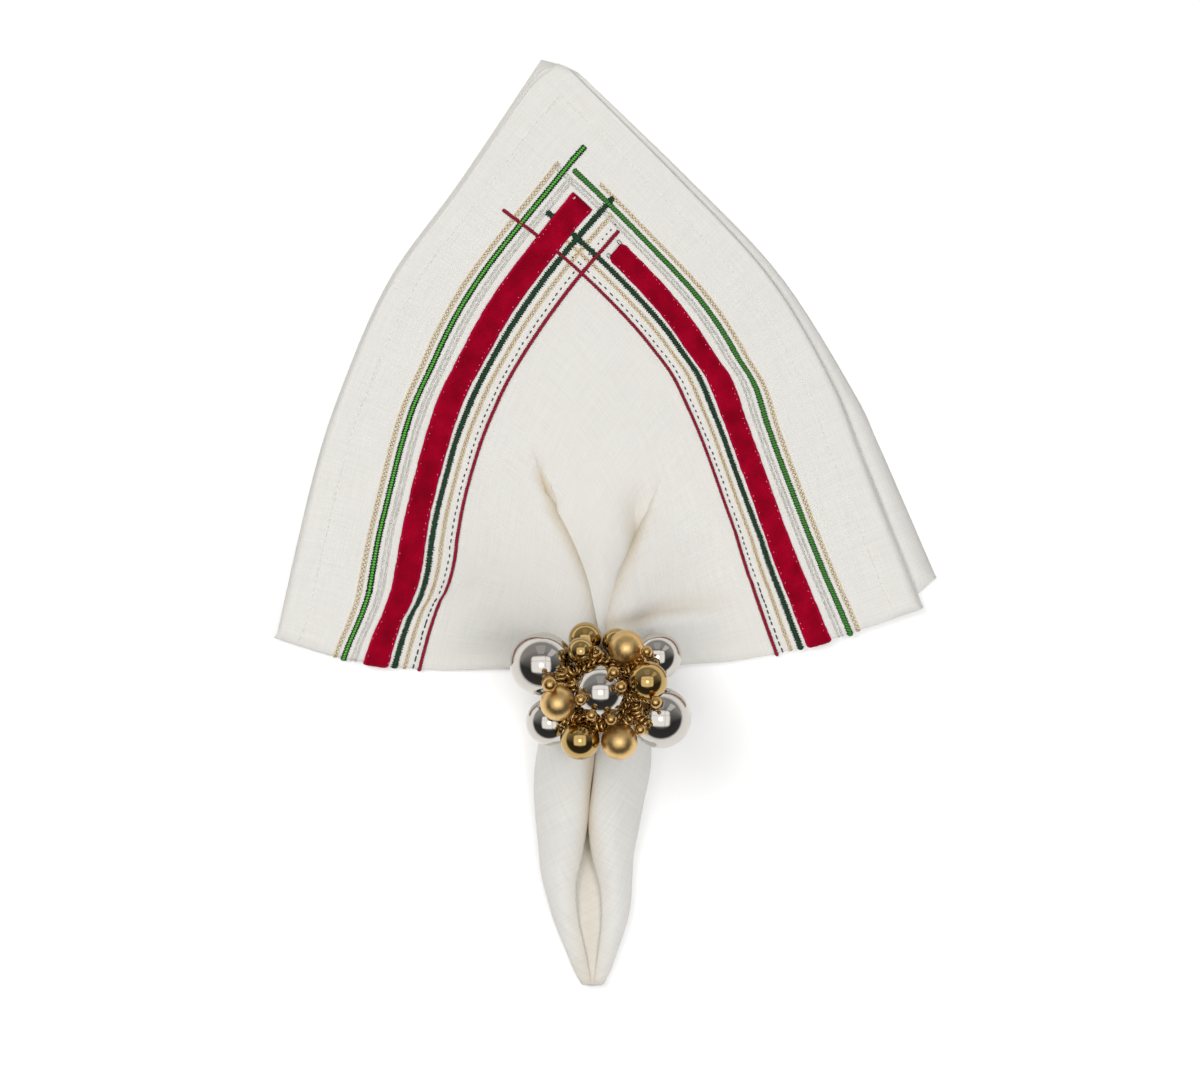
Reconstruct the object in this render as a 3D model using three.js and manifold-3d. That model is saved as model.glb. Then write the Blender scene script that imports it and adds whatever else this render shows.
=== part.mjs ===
// A square linen napkin folded in quarters and drawn through a ring of silver and gold balls.
// Millimetres. +Z is up, +Y runs from the ring to the hemmed corner, and z = 0 is the table.

import * as THREE from 'three';
import { mergeVertices } from 'three/addons/utils/BufferGeometryUtils.js';
import Module from 'manifold-3d';

const wasm = await Module();
wasm.setup();

// Driving sizes
const QUARTER = 254; // side of the folded napkin
const LEAF = 1.0; // one layer of linen
const LEAF_GAP = 0.4; // air between two layers
const LEAVES = 4;
const PRESSED = 2.4; // the four layers drawn together in the ring
const PRESSED_TIP = 2.0; // and at the very end of the tail
const CLEAR = 0.3; // gap between two pieces
const STACK = LEAVES * LEAF + (LEAVES - 1) * LEAF_GAP;

const RING = { x: -2.6, y: -66.4, bore: 20, wall: 1.8, width: 10, sides: 48 };
RING.outer = RING.bore + RING.wall;
RING.z = RING.outer * Math.cos(Math.PI / RING.sides); // it stands on one of its flats
RING.edge = 0.5; // bevel of the band's edges
const RING_SLACK = 0.5; // air between the gathered cloth and the band
const RING_ROOM = RING.bore - PRESSED / 2 - RING_SLACK; // the pressed cloth's middle stays inside it
const RING_REACH = { fan: RING.width / 2 + 1.6, tail: RING.width / 2 + 5 }; // it stays narrow this far
const RING_FLARE = 60; // how fast the cloth may widen beyond that

// Along the diagonal s runs from the hemmed corner to the folded centre of the napkin.
const DIAGONAL = QUARTER * Math.SQRT2;
const CORNER_S = DIAGONAL / 2;
const OPEN_S = 190; // beyond it the four layers are pressed into one
const MOUTH_S = 256; // where the folded edges reach the ring
const FIRST_S = 1.5; // the tip of the hemmed corner is blunt
const LAST_S = 358; // and so is the tail's

// What changes along the diagonal: from = where it begins, over = how far it takes
const PRESSING = { from: OPEN_S, over: 44 }; // the layers come together
const THINNING = { from: 325, over: 30 }; // the tail gets thinner
const SLACKENING = { from: 100, over: 60, share: 0.14 }; // the cloth leaves its edges more loosely
const PUFFING = { from: 196, over: 44, height: 11, wide: 1.25 }; // the wings bulge beside the ring
const EVENING = { from: 150, over: 40 }; // the left hems come to lie exactly on each other
const GATHERING = { middle: 158, edge: 84, power: 1.6, done: 246, doneEdge: 14 }; // spread to gathered

const FINISHES = {
  linen: { color: '#e6e2da', roughness: 0.9, metalness: 0 },
  velvet: { color: '#96001e', roughness: 0.85, metalness: 0 },
  ring: { color: '#c4a060', roughness: 0.25, metalness: 1 },
  silver: { color: '#c9c9cb', roughness: 0.05, metalness: 1 },
  gold: { color: '#c9a24e', roughness: 0.07, metalness: 1 },
  matte_gold: { color: '#c49a52', roughness: 0.4, metalness: 1 },
};

const smooth = (t) => {
  const u = Math.min(1, Math.max(0, t));
  return u * u * (3 - 2 * u);
};
const mix = (a, b, t) => a + (b - a) * t;

// Value of one column of a table at t, on a smooth curve through its rows.
function track(rows, key, column, t) {
  const last = rows.length - 1;
  let i = 0;
  while (i < last - 1 && t > rows[i + 1][key]) i += 1;
  const slope = (k) => {
    const a = rows[Math.max(0, k - 1)];
    const b = rows[Math.min(last, k + 1)];
    return (b[column] - a[column]) / (b[key] - a[key]);
  };
  const [a, b] = [rows[i], rows[i + 1]];
  const h = b[key] - a[key];
  const u = Math.min(1, Math.max(0, (t - a[key]) / h));
  const [u2, u3] = [u * u, u * u * u];
  return (
    (2 * u3 - 3 * u2 + 1) * a[column] +
    (u3 - 2 * u2 + u) * h * slope(i) +
    (3 * u2 - 2 * u3) * b[column] +
    (u3 - u2) * h * slope(i + 1)
  );
}

// Outlines seen from above, from the hemmed corner down each hem and then along each fold.
const outline = (points) => new THREE.SplineCurve(points.map(([x, y]) => new THREE.Vector2(x, y)));
const OUTLINES = {
  left: {
    turn: 1,
    hem: outline([
      [-25, 187],
      [-58.7, 136.6],
      [-87.2, 96.8],
      [-106.7, 52.3],
      [-118, 16.4],
      [-132.2, -45.6],
    ]),
    fold: outline([
      [-132.2, -45.6],
      [-106.6, -53.2],
      [-72.6, -58.4],
      [-48.2, -58.4],
      [-24, -57],
    ]),
  },
  rightFront: {
    turn: -1,
    hem: outline([
      [-17.5, 183.5],
      [32, 134],
      [66, 96.5],
      [89.6, 56.4],
      [101.8, 25.8],
      [125.8, -34.6],
    ]),
    fold: outline([
      [125.8, -34.6],
      [99.4, -43.2],
      [67.8, -52.2],
      [42.6, -56],
      [19, -56],
    ]),
  },
  rightBack: {
    turn: -1,
    hem: outline([
      [-13, 181.5],
      [33.4, 136.8],
      [69.8, 98.2],
      [98.8, 52.3],
      [109, 30.9],
      [131.8, -21.6],
    ]),
    fold: outline([
      [131.8, -21.6],
      [100, -37],
      [64, -50],
      [42, -55],
      [19, -56],
    ]),
  },
};

// The line under the middle of the cloth, and how tightly the cloth is drawn in across it
const MIDDLE = [
  { s: 0, x: -19.5, y: 184.8, across: 1 },
  { s: 60, x: -12, y: 124, across: 1 },
  { s: 110, x: -6, y: 74, across: 0.9 },
  { s: 160, x: -3.2, y: 24.6, across: 0.62 },
  { s: 200, x: -2, y: -15, across: 0.28 },
  { s: 225, x: -2, y: -39.7, across: 0.12 },
  { s: 252, x: -2.6, y: -66.4, across: 0.05 },
  { s: 280, x: -5, y: -97.4, across: 0.05 },
  { s: 300, x: -7.2, y: -119.6, across: 0.05 },
  { s: 318, x: -7.9, y: -139.5, across: 0.05 },
  { s: 333, x: -6.7, y: -156.2, across: 0.05 },
  { s: 347, x: -5.9, y: -171.7, across: 0.05 },
  { s: DIAGONAL, x: -5.6, y: -186, across: 0.05 },
];

// The gathered section: half of it, from the middle panel up to the lip of the lobe, over the
// crest, down the side and under. Heights are those of the middle of the cloth.
const SECTIONS = [
  {
    s: 236, panel: 5, panelZ: 14, inner: 2.4, innerZ: 22, lip: 1.7, lipZ: 33.5,
    crest: 9.5, crestZ: 37, side: 18.2, sideZ: 23, under: 15.5, underZ: 12.3, end: 10.5, endZ: 7.2, lag: 12,
  },
  {
    s: 264, panel: 5, panelZ: 12.5, inner: 2.4, innerZ: 20.5, lip: 1.7, lipZ: 33,
    crest: 9.5, crestZ: 36.8, side: 18.2, sideZ: 22, under: 15.5, underZ: 12, end: 10.5, endZ: 6.8, lag: 12,
  },
  {
    s: 274, panel: 5, panelZ: 8.5, inner: 2.4, innerZ: 16, lip: 1.7, lipZ: 27.5,
    crest: 10.5, crestZ: 31, side: 20.6, sideZ: 15, under: 18.5, underZ: 5.5, end: 12, endZ: 2.2, lag: 12,
  },
  {
    s: 286, panel: 5, panelZ: 6, inner: 2.4, innerZ: 12, lip: 1.7, lipZ: 20.5,
    crest: 11, crestZ: 23.5, side: 21.6, sideZ: 10.5, under: 19.5, underZ: 2.6, end: 13, endZ: 1.2, lag: 11,
  },
  {
    s: 300, panel: 5, panelZ: 5, inner: 2.4, innerZ: 9, lip: 1.7, lipZ: 14.5,
    crest: 10.5, crestZ: 17, side: 20, sideZ: 7.6, under: 18, underZ: 1.8, end: 12, endZ: 1.2, lag: 9,
  },
  {
    s: 313, panel: 4.6, panelZ: 4.2, inner: 3.4, innerZ: 7, lip: 3.2, lipZ: 10.2,
    crest: 10.4, crestZ: 12.6, side: 17.6, sideZ: 6, under: 16, underZ: 1.6, end: 10, endZ: 1.2, lag: 7,
  },
  {
    s: 324, panel: 5.6, panelZ: 3.9, inner: 6, innerZ: 5.8, lip: 6.2, lipZ: 7.8,
    crest: 11.4, crestZ: 9.6, side: 16.8, sideZ: 4.8, under: 15.3, underZ: 1.5, end: 9.5, endZ: 1.2, lag: 5,
  },
  {
    s: 334, panel: 5.4, panelZ: 3.8, inner: 5.8, innerZ: 5.2, lip: 6, lipZ: 6.6,
    crest: 10.2, crestZ: 7.8, side: 14.6, sideZ: 4.2, under: 13.2, underZ: 1.4, end: 8, endZ: 1.2, lag: 3.5,
  },
  {
    s: 344, panel: 3.6, panelZ: 3.7, inner: 4, innerZ: 4.6, lip: 4.3, lipZ: 5.6,
    crest: 7.6, crestZ: 6.2, side: 10.8, sideZ: 3.8, under: 9.4, underZ: 1.3, end: 5.5, endZ: 1.1, lag: 2,
  },
  {
    s: 353, panel: 1.9, panelZ: 3.6, inner: 2.1, innerZ: 4, lip: 2.3, lipZ: 4.6,
    crest: 4.4, crestZ: 4.9, side: 6.8, sideZ: 3.3, under: 5.6, underZ: 1.2, end: 3, endZ: 1.1, lag: 1,
  },
  {
    s: DIAGONAL, panel: 0.5, panelZ: 3.4, inner: 0.7, innerZ: 3.6, lip: 0.9, lipZ: 3.8,
    crest: 1.8, crestZ: 4, side: 3, sideZ: 2.9, under: 2.3, underZ: 1.2, end: 1.2, endZ: 1.1, lag: 0,
  },
];
const KNOTS = [
  { f: 0, name: null },
  { f: 0.1, name: 'panel' },
  { f: 0.2, name: 'inner' },
  { f: 0.31, name: 'lip' },
  { f: 0.45, name: 'crest' },
  { f: 0.66, name: 'side' },
  { f: 0.85, name: 'under' },
  { f: 1, name: 'end' },
];

const halfWidth = (s) => Math.min(s, DIAGONAL - s);
const during = ({ from, over }, s) => smooth((s - from) / over);
const thickness = (s) =>
  mix(mix(STACK, PRESSED, during(PRESSING, s)), PRESSED_TIP, during(THINNING, s));

// Edge of the folded napkin at s, and the direction in which the cloth runs inwards from it
const CORNER_BLEND = { from: CORNER_S - 16, over: 32 };

function edgeOf(line, s) {
  const onHem = Math.min(1, Math.max(0, (s * Math.SQRT2) / QUARTER));
  const onFold = Math.min(1, Math.max(0, ((s - CORNER_S) * Math.SQRT2) / line.fold.getLength()));
  const inwards = (curve, u, along) => {
    const way = curve.getTangentAt(u);
    const inward = new THREE.Vector2(-way.y, way.x).multiplyScalar(line.turn);
    return inward.addScaledVector(way, along).normalize();
  };
  const dir = inwards(line.hem, onHem, -1);
  dir.lerp(inwards(line.fold, onFold, 1), during(CORNER_BLEND, s)).normalize();
  const at = s < CORNER_S ? line.hem.getPointAt(onHem) : line.fold.getPointAt(onFold);
  return { at, dir };
}

// Edge on the right, which differs between the front pair of layers (back = 0) and the back pair
function rightEdge(s, back) {
  const front = edgeOf(OUTLINES.rightFront, s);
  const apart = back * (1 - smooth((s - CORNER_S) / (OPEN_S - CORNER_S)));
  if (apart === 0) return front;
  const rear = edgeOf(OUTLINES.rightBack, s);
  front.at.lerp(rear.at, apart);
  front.dir.lerp(rear.dir, apart).normalize();
  return front;
}

// Point of the spread cloth: f is -1 on the left edge, 0 in the middle and 1 on the right edge
function spreadPoint(s, f, back) {
  const w = halfWidth(s);
  const left = f < 0;
  const edge = left ? edgeOf(OUTLINES.left, s) : rightEdge(s, back);
  const middle = new THREE.Vector2(track(MIDDLE, 's', 'x', s), track(MIDDLE, 's', 'y', s));
  const squeeze = (left ? 1 : -1) * track(MIDDLE, 's', 'across', s) * w;
  const r = 1 - Math.abs(f);
  const [r2, r3] = [r * r, r * r * r];
  const onEdge = 2 * r3 - 3 * r2 + 1;
  const leave = (r3 - 2 * r2 + r) * w * (1 + SLACKENING.share * during(SLACKENING, s));
  const arrive = (r3 - r2) * squeeze;
  const x = onEdge * edge.at.x + leave * edge.dir.x + (1 - onEdge) * middle.x + arrive;
  const y = onEdge * edge.at.y + leave * edge.dir.y + (1 - onEdge) * middle.y;
  const bulge = Math.sin(Math.PI * Math.min(1, PUFFING.wide * r)) ** 2;
  const puff = PUFFING.height * during(PUFFING, s) * bulge;
  return new THREE.Vector3(x, y, thickness(s) / 2 + puff);
}

// Point of the gathered cloth, inside the ring and in the tail
function gatheredPoint(s, f) {
  const a = Math.abs(f);
  const at = Math.max(s, SECTIONS[0].s);
  const panelZ = track(SECTIONS, 's', 'panelZ', at);
  const knots = KNOTS.map(({ f: where, name }) => ({
    where,
    x: name ? track(SECTIONS, 's', name, at) : 0,
    z: name ? track(SECTIONS, 's', `${name}Z`, at) : panelZ,
  }));
  const x = track(knots, 'where', 'x', a);
  const z = track(knots, 'where', 'z', a);
  const waiting = Math.max(0, MOUTH_S - s); // the wings' edges wait beside the mouth of the ring
  const y = track(MIDDLE, 's', 'y', s) + (track(SECTIONS, 's', 'lag', at) - waiting) * a * a;
  return new THREE.Vector3(track(MIDDLE, 's', 'x', s) + Math.sign(f) * x, y, z);
}

// Middle of the cloth
function clothPoint(s, f, back) {
  const a = Math.abs(f);
  const start = GATHERING.middle + GATHERING.edge * a ** GATHERING.power;
  const done = GATHERING.done + GATHERING.doneEdge * a;
  const drawn = smooth((s - start) / (done - start));
  const point = gatheredPoint(s, f);
  if (drawn < 1) point.lerp(spreadPoint(s, f, back), 1 - drawn);
  const reach = point.y > RING.y ? RING_REACH.fan : RING_REACH.tail;
  const beyond = Math.max(0, Math.abs(point.y - RING.y) - reach);
  const room = RING_ROOM + RING_FLARE * beyond ** 2;
  const out = new THREE.Vector2(point.x - RING.x, point.z - RING.z);
  if (out.length() > room) {
    out.setLength(room);
    point.x = RING.x + out.x;
    point.z = RING.z + out.y;
  }
  return point;
}

// Point at a height above or below the middle of the cloth
const SLOPE_STEP = { s: 0.6, f: 0.006 }; // over which the slope of the cloth is taken
function skinPoint(s, f, height, back) {
  const { s: ds, f: df } = SLOPE_STEP;
  const at = clothPoint(s, f, back);
  const alongS = clothPoint(Math.min(DIAGONAL, s + ds), f, back).sub(clothPoint(s - ds, f, back));
  const alongF = clothPoint(s, Math.min(1, f + df), back);
  alongF.sub(clothPoint(s, Math.max(-1, f - df), back));
  const normal = alongS.cross(alongF).normalize();
  at.addScaledVector(normal, height);
  at.z = Math.max(0, at.z);
  return at;
}

// Rows of the cloth's grid along the diagonal, closer together where it is gathered
const ROWS = [FIRST_S];
const ROW_RUNS = [
  { to: CORNER_S, steps: 9 },
  { to: OPEN_S, steps: 2 },
  { to: 262, steps: 14 },
  { to: LAST_S, steps: 16 },
];
for (const { to, steps } of ROW_RUNS) {
  const from = ROWS.at(-1);
  for (let k = 1; k <= steps; k += 1) ROWS.push(mix(from, to, k / steps));
}
const CORNER_ROW = ROW_RUNS[0].steps;
const OPEN_ROW = CORNER_ROW + ROW_RUNS[1].steps;
const LAST_ROW = ROWS.length - 1;
const HALF_COLUMNS = 12;
const LAST_COLUMN = 2 * HALF_COLUMNS;
const columnF = (j) => (j - HALF_COLUMNS) / HALF_COLUMNS;

// How far back each layer belongs, from the bottom one up, and how far its left hem lies inside
const LAYERS = [
  { back: 1, inset: 0 },
  { back: 0.94, inset: 0.8 },
  { back: 0.1, inset: 1.8 },
  { back: 0, inset: 3 },
];
const LOWER = 0;
const UPPER = 1;
const TOP_LAYER = LEAVES - 1;
const INSET_LOST = 0.7; // share of the inset that is gone at the left corner
const INSET_LIMIT = 0.85; // at most this share of the way to the middle

// Share of the way to the middle by which a layer's left hem is drawn in
function drawnIn(inset, s) {
  const left = inset * (1 - INSET_LOST * smooth(s / CORNER_S)) * (1 - during(EVENING, s));
  return Math.min(INSET_LIMIT, left / halfWidth(s));
}

function layerPoint(layer, face, i, j) {
  const s = ROWS[i];
  const f = columnF(j);
  const { back, inset } = LAYERS[layer];
  const inwards = f < 0 ? drawnIn(inset, s) : 0;
  const level = i > OPEN_ROW ? face * thickness(s) : layer * (LEAF + LEAF_GAP) + face * LEAF;
  return skinPoint(s, f * (1 - inwards), level - thickness(s) / 2, back);
}

// Upper face of the front layer, as its grid of points, and the point of it at s and f
const FRONT = ROWS.map((_, i) =>
  Array.from({ length: LAST_COLUMN + 1 }, (__, j) => layerPoint(TOP_LAYER, UPPER, i, j)),
);

function frontPoint(s, f) {
  let i = 0;
  while (i < LAST_ROW - 1 && s > ROWS[i + 1]) i += 1;
  const column = Math.min(LAST_COLUMN, Math.max(0, (f + 1) * HALF_COLUMNS));
  const j = Math.min(LAST_COLUMN - 1, Math.floor(column));
  const u = Math.max(0, (s - ROWS[i]) / (ROWS[i + 1] - ROWS[i]));
  const v = column - j;
  const corner = (di, dj) => FRONT[i + di][j + dj];
  const sum = (a, wa, b, wb, c, wc) =>
    a.clone().multiplyScalar(wa).addScaledVector(b, wb).addScaledVector(c, wc);
  if (j < HALF_COLUMNS) {
    if (u + v <= 1) return sum(corner(0, 0), 1 - u - v, corner(0, 1), v, corner(1, 0), u);
    return sum(corner(1, 1), u + v - 1, corner(1, 0), 1 - v, corner(0, 1), 1 - u);
  }
  if (u >= v) return sum(corner(0, 0), 1 - u, corner(1, 0), u - v, corner(1, 1), v);
  return sum(corner(0, 0), 1 - v, corner(0, 1), v - u, corner(1, 1), u);
}

const FACET_STEP = { s: 2, f: 0.02 };
function frontNormal(s, f) {
  const { s: ds, f: df } = FACET_STEP;
  const alongS = frontPoint(s + ds, f).sub(frontPoint(s - ds, f));
  const alongF = frontPoint(s, Math.min(1, f + df)).sub(frontPoint(s, Math.max(-1, f - df)));
  return alongS.cross(alongF).normalize();
}

// The napkin: four layers with air between them, open along the hems and joined along the folds,
// drawn together towards the ring. At the left the folds are nested, at the right they are two.
const SLIT_INSET = 1.5; // a slit between two layers ends this far inside a folded edge
const RIM_ROUND = 0.3; // how far a folded edge bulges, as a share of its thickness

function napkin() {
  const positions = [];
  const faces = [];
  const index = new Map();
  const vertex = (key, make) => {
    if (!index.has(key)) {
      index.set(key, positions.length / 3);
      positions.push(...make().toArray());
    }
    return index.get(key);
  };
  const pairSlit = 1; // the slit between the front and the back pair stays open at the right
  const openSide = (gap, i, j) =>
    i <= CORNER_ROW || (gap === pairSlit && j === LAST_COLUMN && i < OPEN_ROW);
  const side = (j) => j === 0 || j === LAST_COLUMN;
  const closed = (gap, i, j) => i >= OPEN_ROW || (side(j) && !openSide(gap, i, j));
  const onRim = (gap, i, j) =>
    i === CORNER_ROW + 1 || (gap === pairSlit && j === LAST_COLUMN && i === OPEN_ROW);

  // Where a slit ends, on the rim or a little inside it
  const slitEnd = (gap, i, j) =>
    vertex(`end ${gap} ${i} ${j}`, () => {
      const a = layerPoint(gap, UPPER, Math.min(i, OPEN_ROW), j);
      const b = layerPoint(gap + 1, LOWER, Math.min(i, OPEN_ROW), j);
      const at = a.lerp(b, 0.5);
      if (!side(j)) return at;
      const next = layerPoint(gap, UPPER, i, j === 0 ? 1 : LAST_COLUMN - 1);
      return at.addScaledVector(next.sub(at).setZ(0).normalize(), SLIT_INSET);
    });
  const rim = (gap, i, j) =>
    vertex(`rim ${gap} ${i} ${j}`, () => {
      const low = layerPoint(0, LOWER, i, j);
      const high = layerPoint(TOP_LAYER, UPPER, i, j);
      const inner = layerPoint(TOP_LAYER, UPPER, i, j === 0 ? 1 : LAST_COLUMN - 1);
      const level = (gap + 1) / LEAVES;
      const round = RIM_ROUND * Math.sin(Math.PI * level) * low.distanceTo(high);
      const away = high.clone().sub(inner).normalize();
      return low.lerp(high, level).addScaledVector(away, round);
    });
  const slitVertex = (gap, i, j) => {
    if (side(j) && i > CORNER_ROW && onRim(gap, i, j)) return rim(gap, i, j);
    return slitEnd(gap, i, j);
  };
  const cloth = (layer, face, i, j) => {
    const gap = face === UPPER ? layer : layer - 1;
    if (gap >= 0 && gap < TOP_LAYER && closed(gap, i, j)) return slitVertex(gap, i, j);
    if (layer === TOP_LAYER && face === UPPER) return vertex(`front ${i} ${j}`, () => FRONT[i][j]);
    return vertex(`${layer} ${face} ${i} ${j}`, () => layerPoint(layer, face, i, j));
  };
  const quad = (a, b, c, d, flip) => {
    const tris = [[a, b, c], [a, c, d]];
    for (const [p, q, r] of tris) faces.push(...(flip ? [p, r, q] : [p, q, r]));
  };

  // Upper and lower face of every layer
  for (let layer = 0; layer < LEAVES; layer += 1) {
    for (const face of [LOWER, UPPER]) {
      const outside = (layer === 0 && face === LOWER) || (layer === TOP_LAYER && face === UPPER);
      const rows = outside ? LAST_ROW : OPEN_ROW;
      for (let i = 0; i < rows; i += 1) {
        for (let j = 0; j < LAST_COLUMN; j += 1) {
          const at = (di, dj) => cloth(layer, face, i + di, j + dj);
          if (j < HALF_COLUMNS) quad(at(0, 1), at(0, 0), at(1, 0), at(1, 1), face === LOWER);
          else quad(at(0, 0), at(1, 0), at(1, 1), at(0, 1), face === LOWER);
        }
      }
    }
  }

  // Rims: hems where a slit is open, folds where it is closed
  const rimLevel = (gap, face, i, j) => {
    if (gap < 0) return cloth(0, LOWER, i, j);
    if (gap >= TOP_LAYER) return cloth(TOP_LAYER, UPPER, i, j);
    if (!openSide(gap, i, j)) return rim(gap, i, j);
    return cloth(face === UPPER ? gap : gap + 1, face, i, j);
  };
  for (const j of [0, LAST_COLUMN]) {
    for (let i = 0; i < LAST_ROW; i += 1) {
      for (let layer = 0; layer < LEAVES; layer += 1) {
        quad(
          rimLevel(layer, UPPER, i, j),
          rimLevel(layer - 1, LOWER, i, j),
          rimLevel(layer - 1, LOWER, i + 1, j),
          rimLevel(layer, UPPER, i + 1, j),
          j > 0,
        );
      }
    }
  }

  // The corner where the hems meet, layer by layer, and the end of the tail
  for (let layer = 0; layer < LEAVES; layer += 1) {
    for (let j = 0; j < LAST_COLUMN; j += 1) {
      quad(
        cloth(layer, UPPER, 0, j),
        cloth(layer, UPPER, 0, j + 1),
        cloth(layer, LOWER, 0, j + 1),
        cloth(layer, LOWER, 0, j),
        false,
      );
    }
  }
  const top = (j) => cloth(TOP_LAYER, UPPER, LAST_ROW, j);
  const bottom = (j) => cloth(0, LOWER, LAST_ROW, j);
  for (let j = 1; j < LAST_COLUMN - 1; j += 1) {
    quad(top(j + 1), top(j), bottom(j), bottom(j + 1), false);
  }
  for (const j of [0, LAST_COLUMN]) {
    const inner = j === 0 ? 1 : LAST_COLUMN - 1;
    const side = [2, 1, 0].map((gap) => rim(gap, LAST_ROW, j));
    const around = [top(j), ...side, bottom(j), bottom(inner)];
    for (let k = 0; k < around.length - 1; k += 1) {
      const tri = [top(inner), around[k], around[k + 1]];
      faces.push(...(j === 0 ? tri : tri.reverse()));
    }
  }
  return solidGeometry(positions, faces);
}

function solidGeometry(positions, faces) {
  const geometry = new THREE.BufferGeometry();
  geometry.setAttribute('position', new THREE.Float32BufferAttribute(positions, 3));
  geometry.setIndex(faces);
  return geometry;
}

// The velvet ribbons, each sewn along the front layer at one distance from its hem
const VELVET = 0.8; // thickness
const RIBBON_LIFT = 0.4; // air under it
const RIBBON_STEP = 4.5; // length of its facets
const RIBBON_LANES = 3; // across its width
const RIBBONS = [
  { name: 'ribbon_left', turn: 1, from: 36.6, to: 46.6, start: 37 },
  { name: 'ribbon_right', turn: -1, from: 38, to: 48, start: 63 },
];

// s and f of a point of the front layer, from its distances to the two hems
function clothAt(turn, across, along) {
  const s = (across + along) / Math.SQRT2;
  return { s, f: (turn * (across - along)) / Math.SQRT2 / halfWidth(s) };
}

function ribbon({ turn, from, to, start }) {
  const steps = Math.round((QUARTER - start) / RIBBON_STEP);
  const stations = Array.from({ length: steps + 1 }, (_, k) => mix(start, QUARTER, k / steps));
  const below = [];
  const above = [];
  for (const along of stations) {
    for (let lane = 0; lane <= RIBBON_LANES; lane += 1) {
      const { s, f } = clothAt(turn, mix(from, to, lane / RIBBON_LANES), along);
      const normal = frontNormal(s, f);
      below.push(frontPoint(s, f).addScaledVector(normal, RIBBON_LIFT));
      above.push(frontPoint(s, f).addScaledVector(normal, RIBBON_LIFT + VELVET));
    }
  }
  return slab(below, above, stations.length, RIBBON_LANES + 1, turn < 0);
}

// A closed sheet between two grids of points with the same rows and columns
function slab(below, above, rows, columns, flip) {
  const points = [...below, ...above];
  const faces = [];
  const quad = (a, b, c, d) => faces.push(...(flip ? [a, c, b, a, d, c] : [a, b, c, a, c, d]));
  const low = (i, j) => i * columns + j;
  const high = (i, j) => below.length + low(i, j);
  for (let i = 0; i < rows - 1; i += 1) {
    for (let j = 0; j < columns - 1; j += 1) {
      quad(high(i, j), high(i + 1, j), high(i + 1, j + 1), high(i, j + 1));
      quad(low(i, j), low(i, j + 1), low(i + 1, j + 1), low(i + 1, j));
    }
    quad(low(i, 0), low(i + 1, 0), high(i + 1, 0), high(i, 0));
    const end = columns - 1;
    quad(high(i, end), high(i + 1, end), low(i + 1, end), low(i, end));
  }
  for (let j = 0; j < columns - 1; j += 1) {
    quad(low(0, j), high(0, j), high(0, j + 1), low(0, j + 1));
    quad(high(rows - 1, j), low(rows - 1, j), low(rows - 1, j + 1), high(rows - 1, j + 1));
  }
  return solidGeometry(points.flatMap((p) => p.toArray()), faces);
}

// The balls of the cluster. dx and dy are measured from the middle of the ring.
const BALLS = [
  { name: 'ball_silver_centre', finish: 'silver', dx: 0.3, dy: -0.2, z: 57.2, radius: 10.7 },
  { name: 'ball_silver_upper_left', finish: 'silver', dx: -23, dy: 10.5, z: 46.5, radius: 12.6 },
  { name: 'ball_silver_upper_right', finish: 'silver', dx: 22.8, dy: 13.3, z: 37.5, radius: 9.4 },
  { name: 'ball_silver_lower_left', finish: 'silver', dx: -19.9, dy: -12.5, z: 43, radius: 9.4 },
  { name: 'ball_silver_lower_right', finish: 'silver', dx: 24, dy: -10.8, z: 44.5, radius: 12 },
  { name: 'ball_gold_top', finish: 'gold', dx: -5.8, dy: 20.3, z: 41.2, radius: 6.6 },
  { name: 'ball_gold_top_front', finish: 'gold', dx: -7.5, dy: 15.8, z: 55, radius: 5.3 },
  { name: 'ball_gold_top_right', finish: 'gold', dx: 6.5, dy: 18.9, z: 44, radius: 5.6 },
  { name: 'ball_gold_right', finish: 'gold', dx: 18.6, dy: 4, z: 60.5, radius: 7.9 },
  { name: 'ball_gold_bottom', finish: 'gold', dx: -7.8, dy: -19.2, z: 54.2, radius: 7.9 },
  { name: 'ball_matte_top', finish: 'matte_gold', dx: 10.3, dy: 17, z: 56.5, radius: 7 },
  { name: 'ball_matte_left', finish: 'matte_gold', dx: -16.5, dy: -4.6, z: 62.6, radius: 7 },
  { name: 'ball_matte_bottom', finish: 'matte_gold', dx: 7.6, dy: -19.8, z: 56.6, radius: 7.2 },
];
const BEADS = [
  { name: 'bead_1', finish: 'gold', dx: -19.6, dy: 2.9, z: 69.4, radius: 3.1 },
  { name: 'bead_2', finish: 'gold', dx: -7.5, dy: -3, z: 68, radius: 2.4 },
  { name: 'bead_3', finish: 'gold', dx: -3.3, dy: -9.1, z: 66.8, radius: 2.3 },
  { name: 'bead_4', finish: 'gold', dx: 4.3, dy: -10.8, z: 65, radius: 2.5 },
  { name: 'bead_5', finish: 'gold', dx: 15.8, dy: -15, z: 59.5, radius: 2.3 },
  { name: 'bead_6', finish: 'gold', dx: 5.3, dy: 7.5, z: 66.8, radius: 2.5 },
  { name: 'bead_7', finish: 'gold', dx: 8.2, dy: 2.1, z: 68.3, radius: 2.5 },
  { name: 'bead_8', finish: 'gold', dx: 21.7, dy: -4.1, z: 67.3, radius: 2.5 },
  { name: 'bead_9', finish: 'silver', dx: 0.6, dy: 13.6, z: 46.5, radius: 2.2 },
  { name: 'bead_10', finish: 'gold', dx: 18.3, dy: 15.6, z: 62, radius: 2.3 },
];
const BALL_MESH = { around: 14, down: 9 };
const BEAD_MESH = { around: 8, down: 6 };

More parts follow.
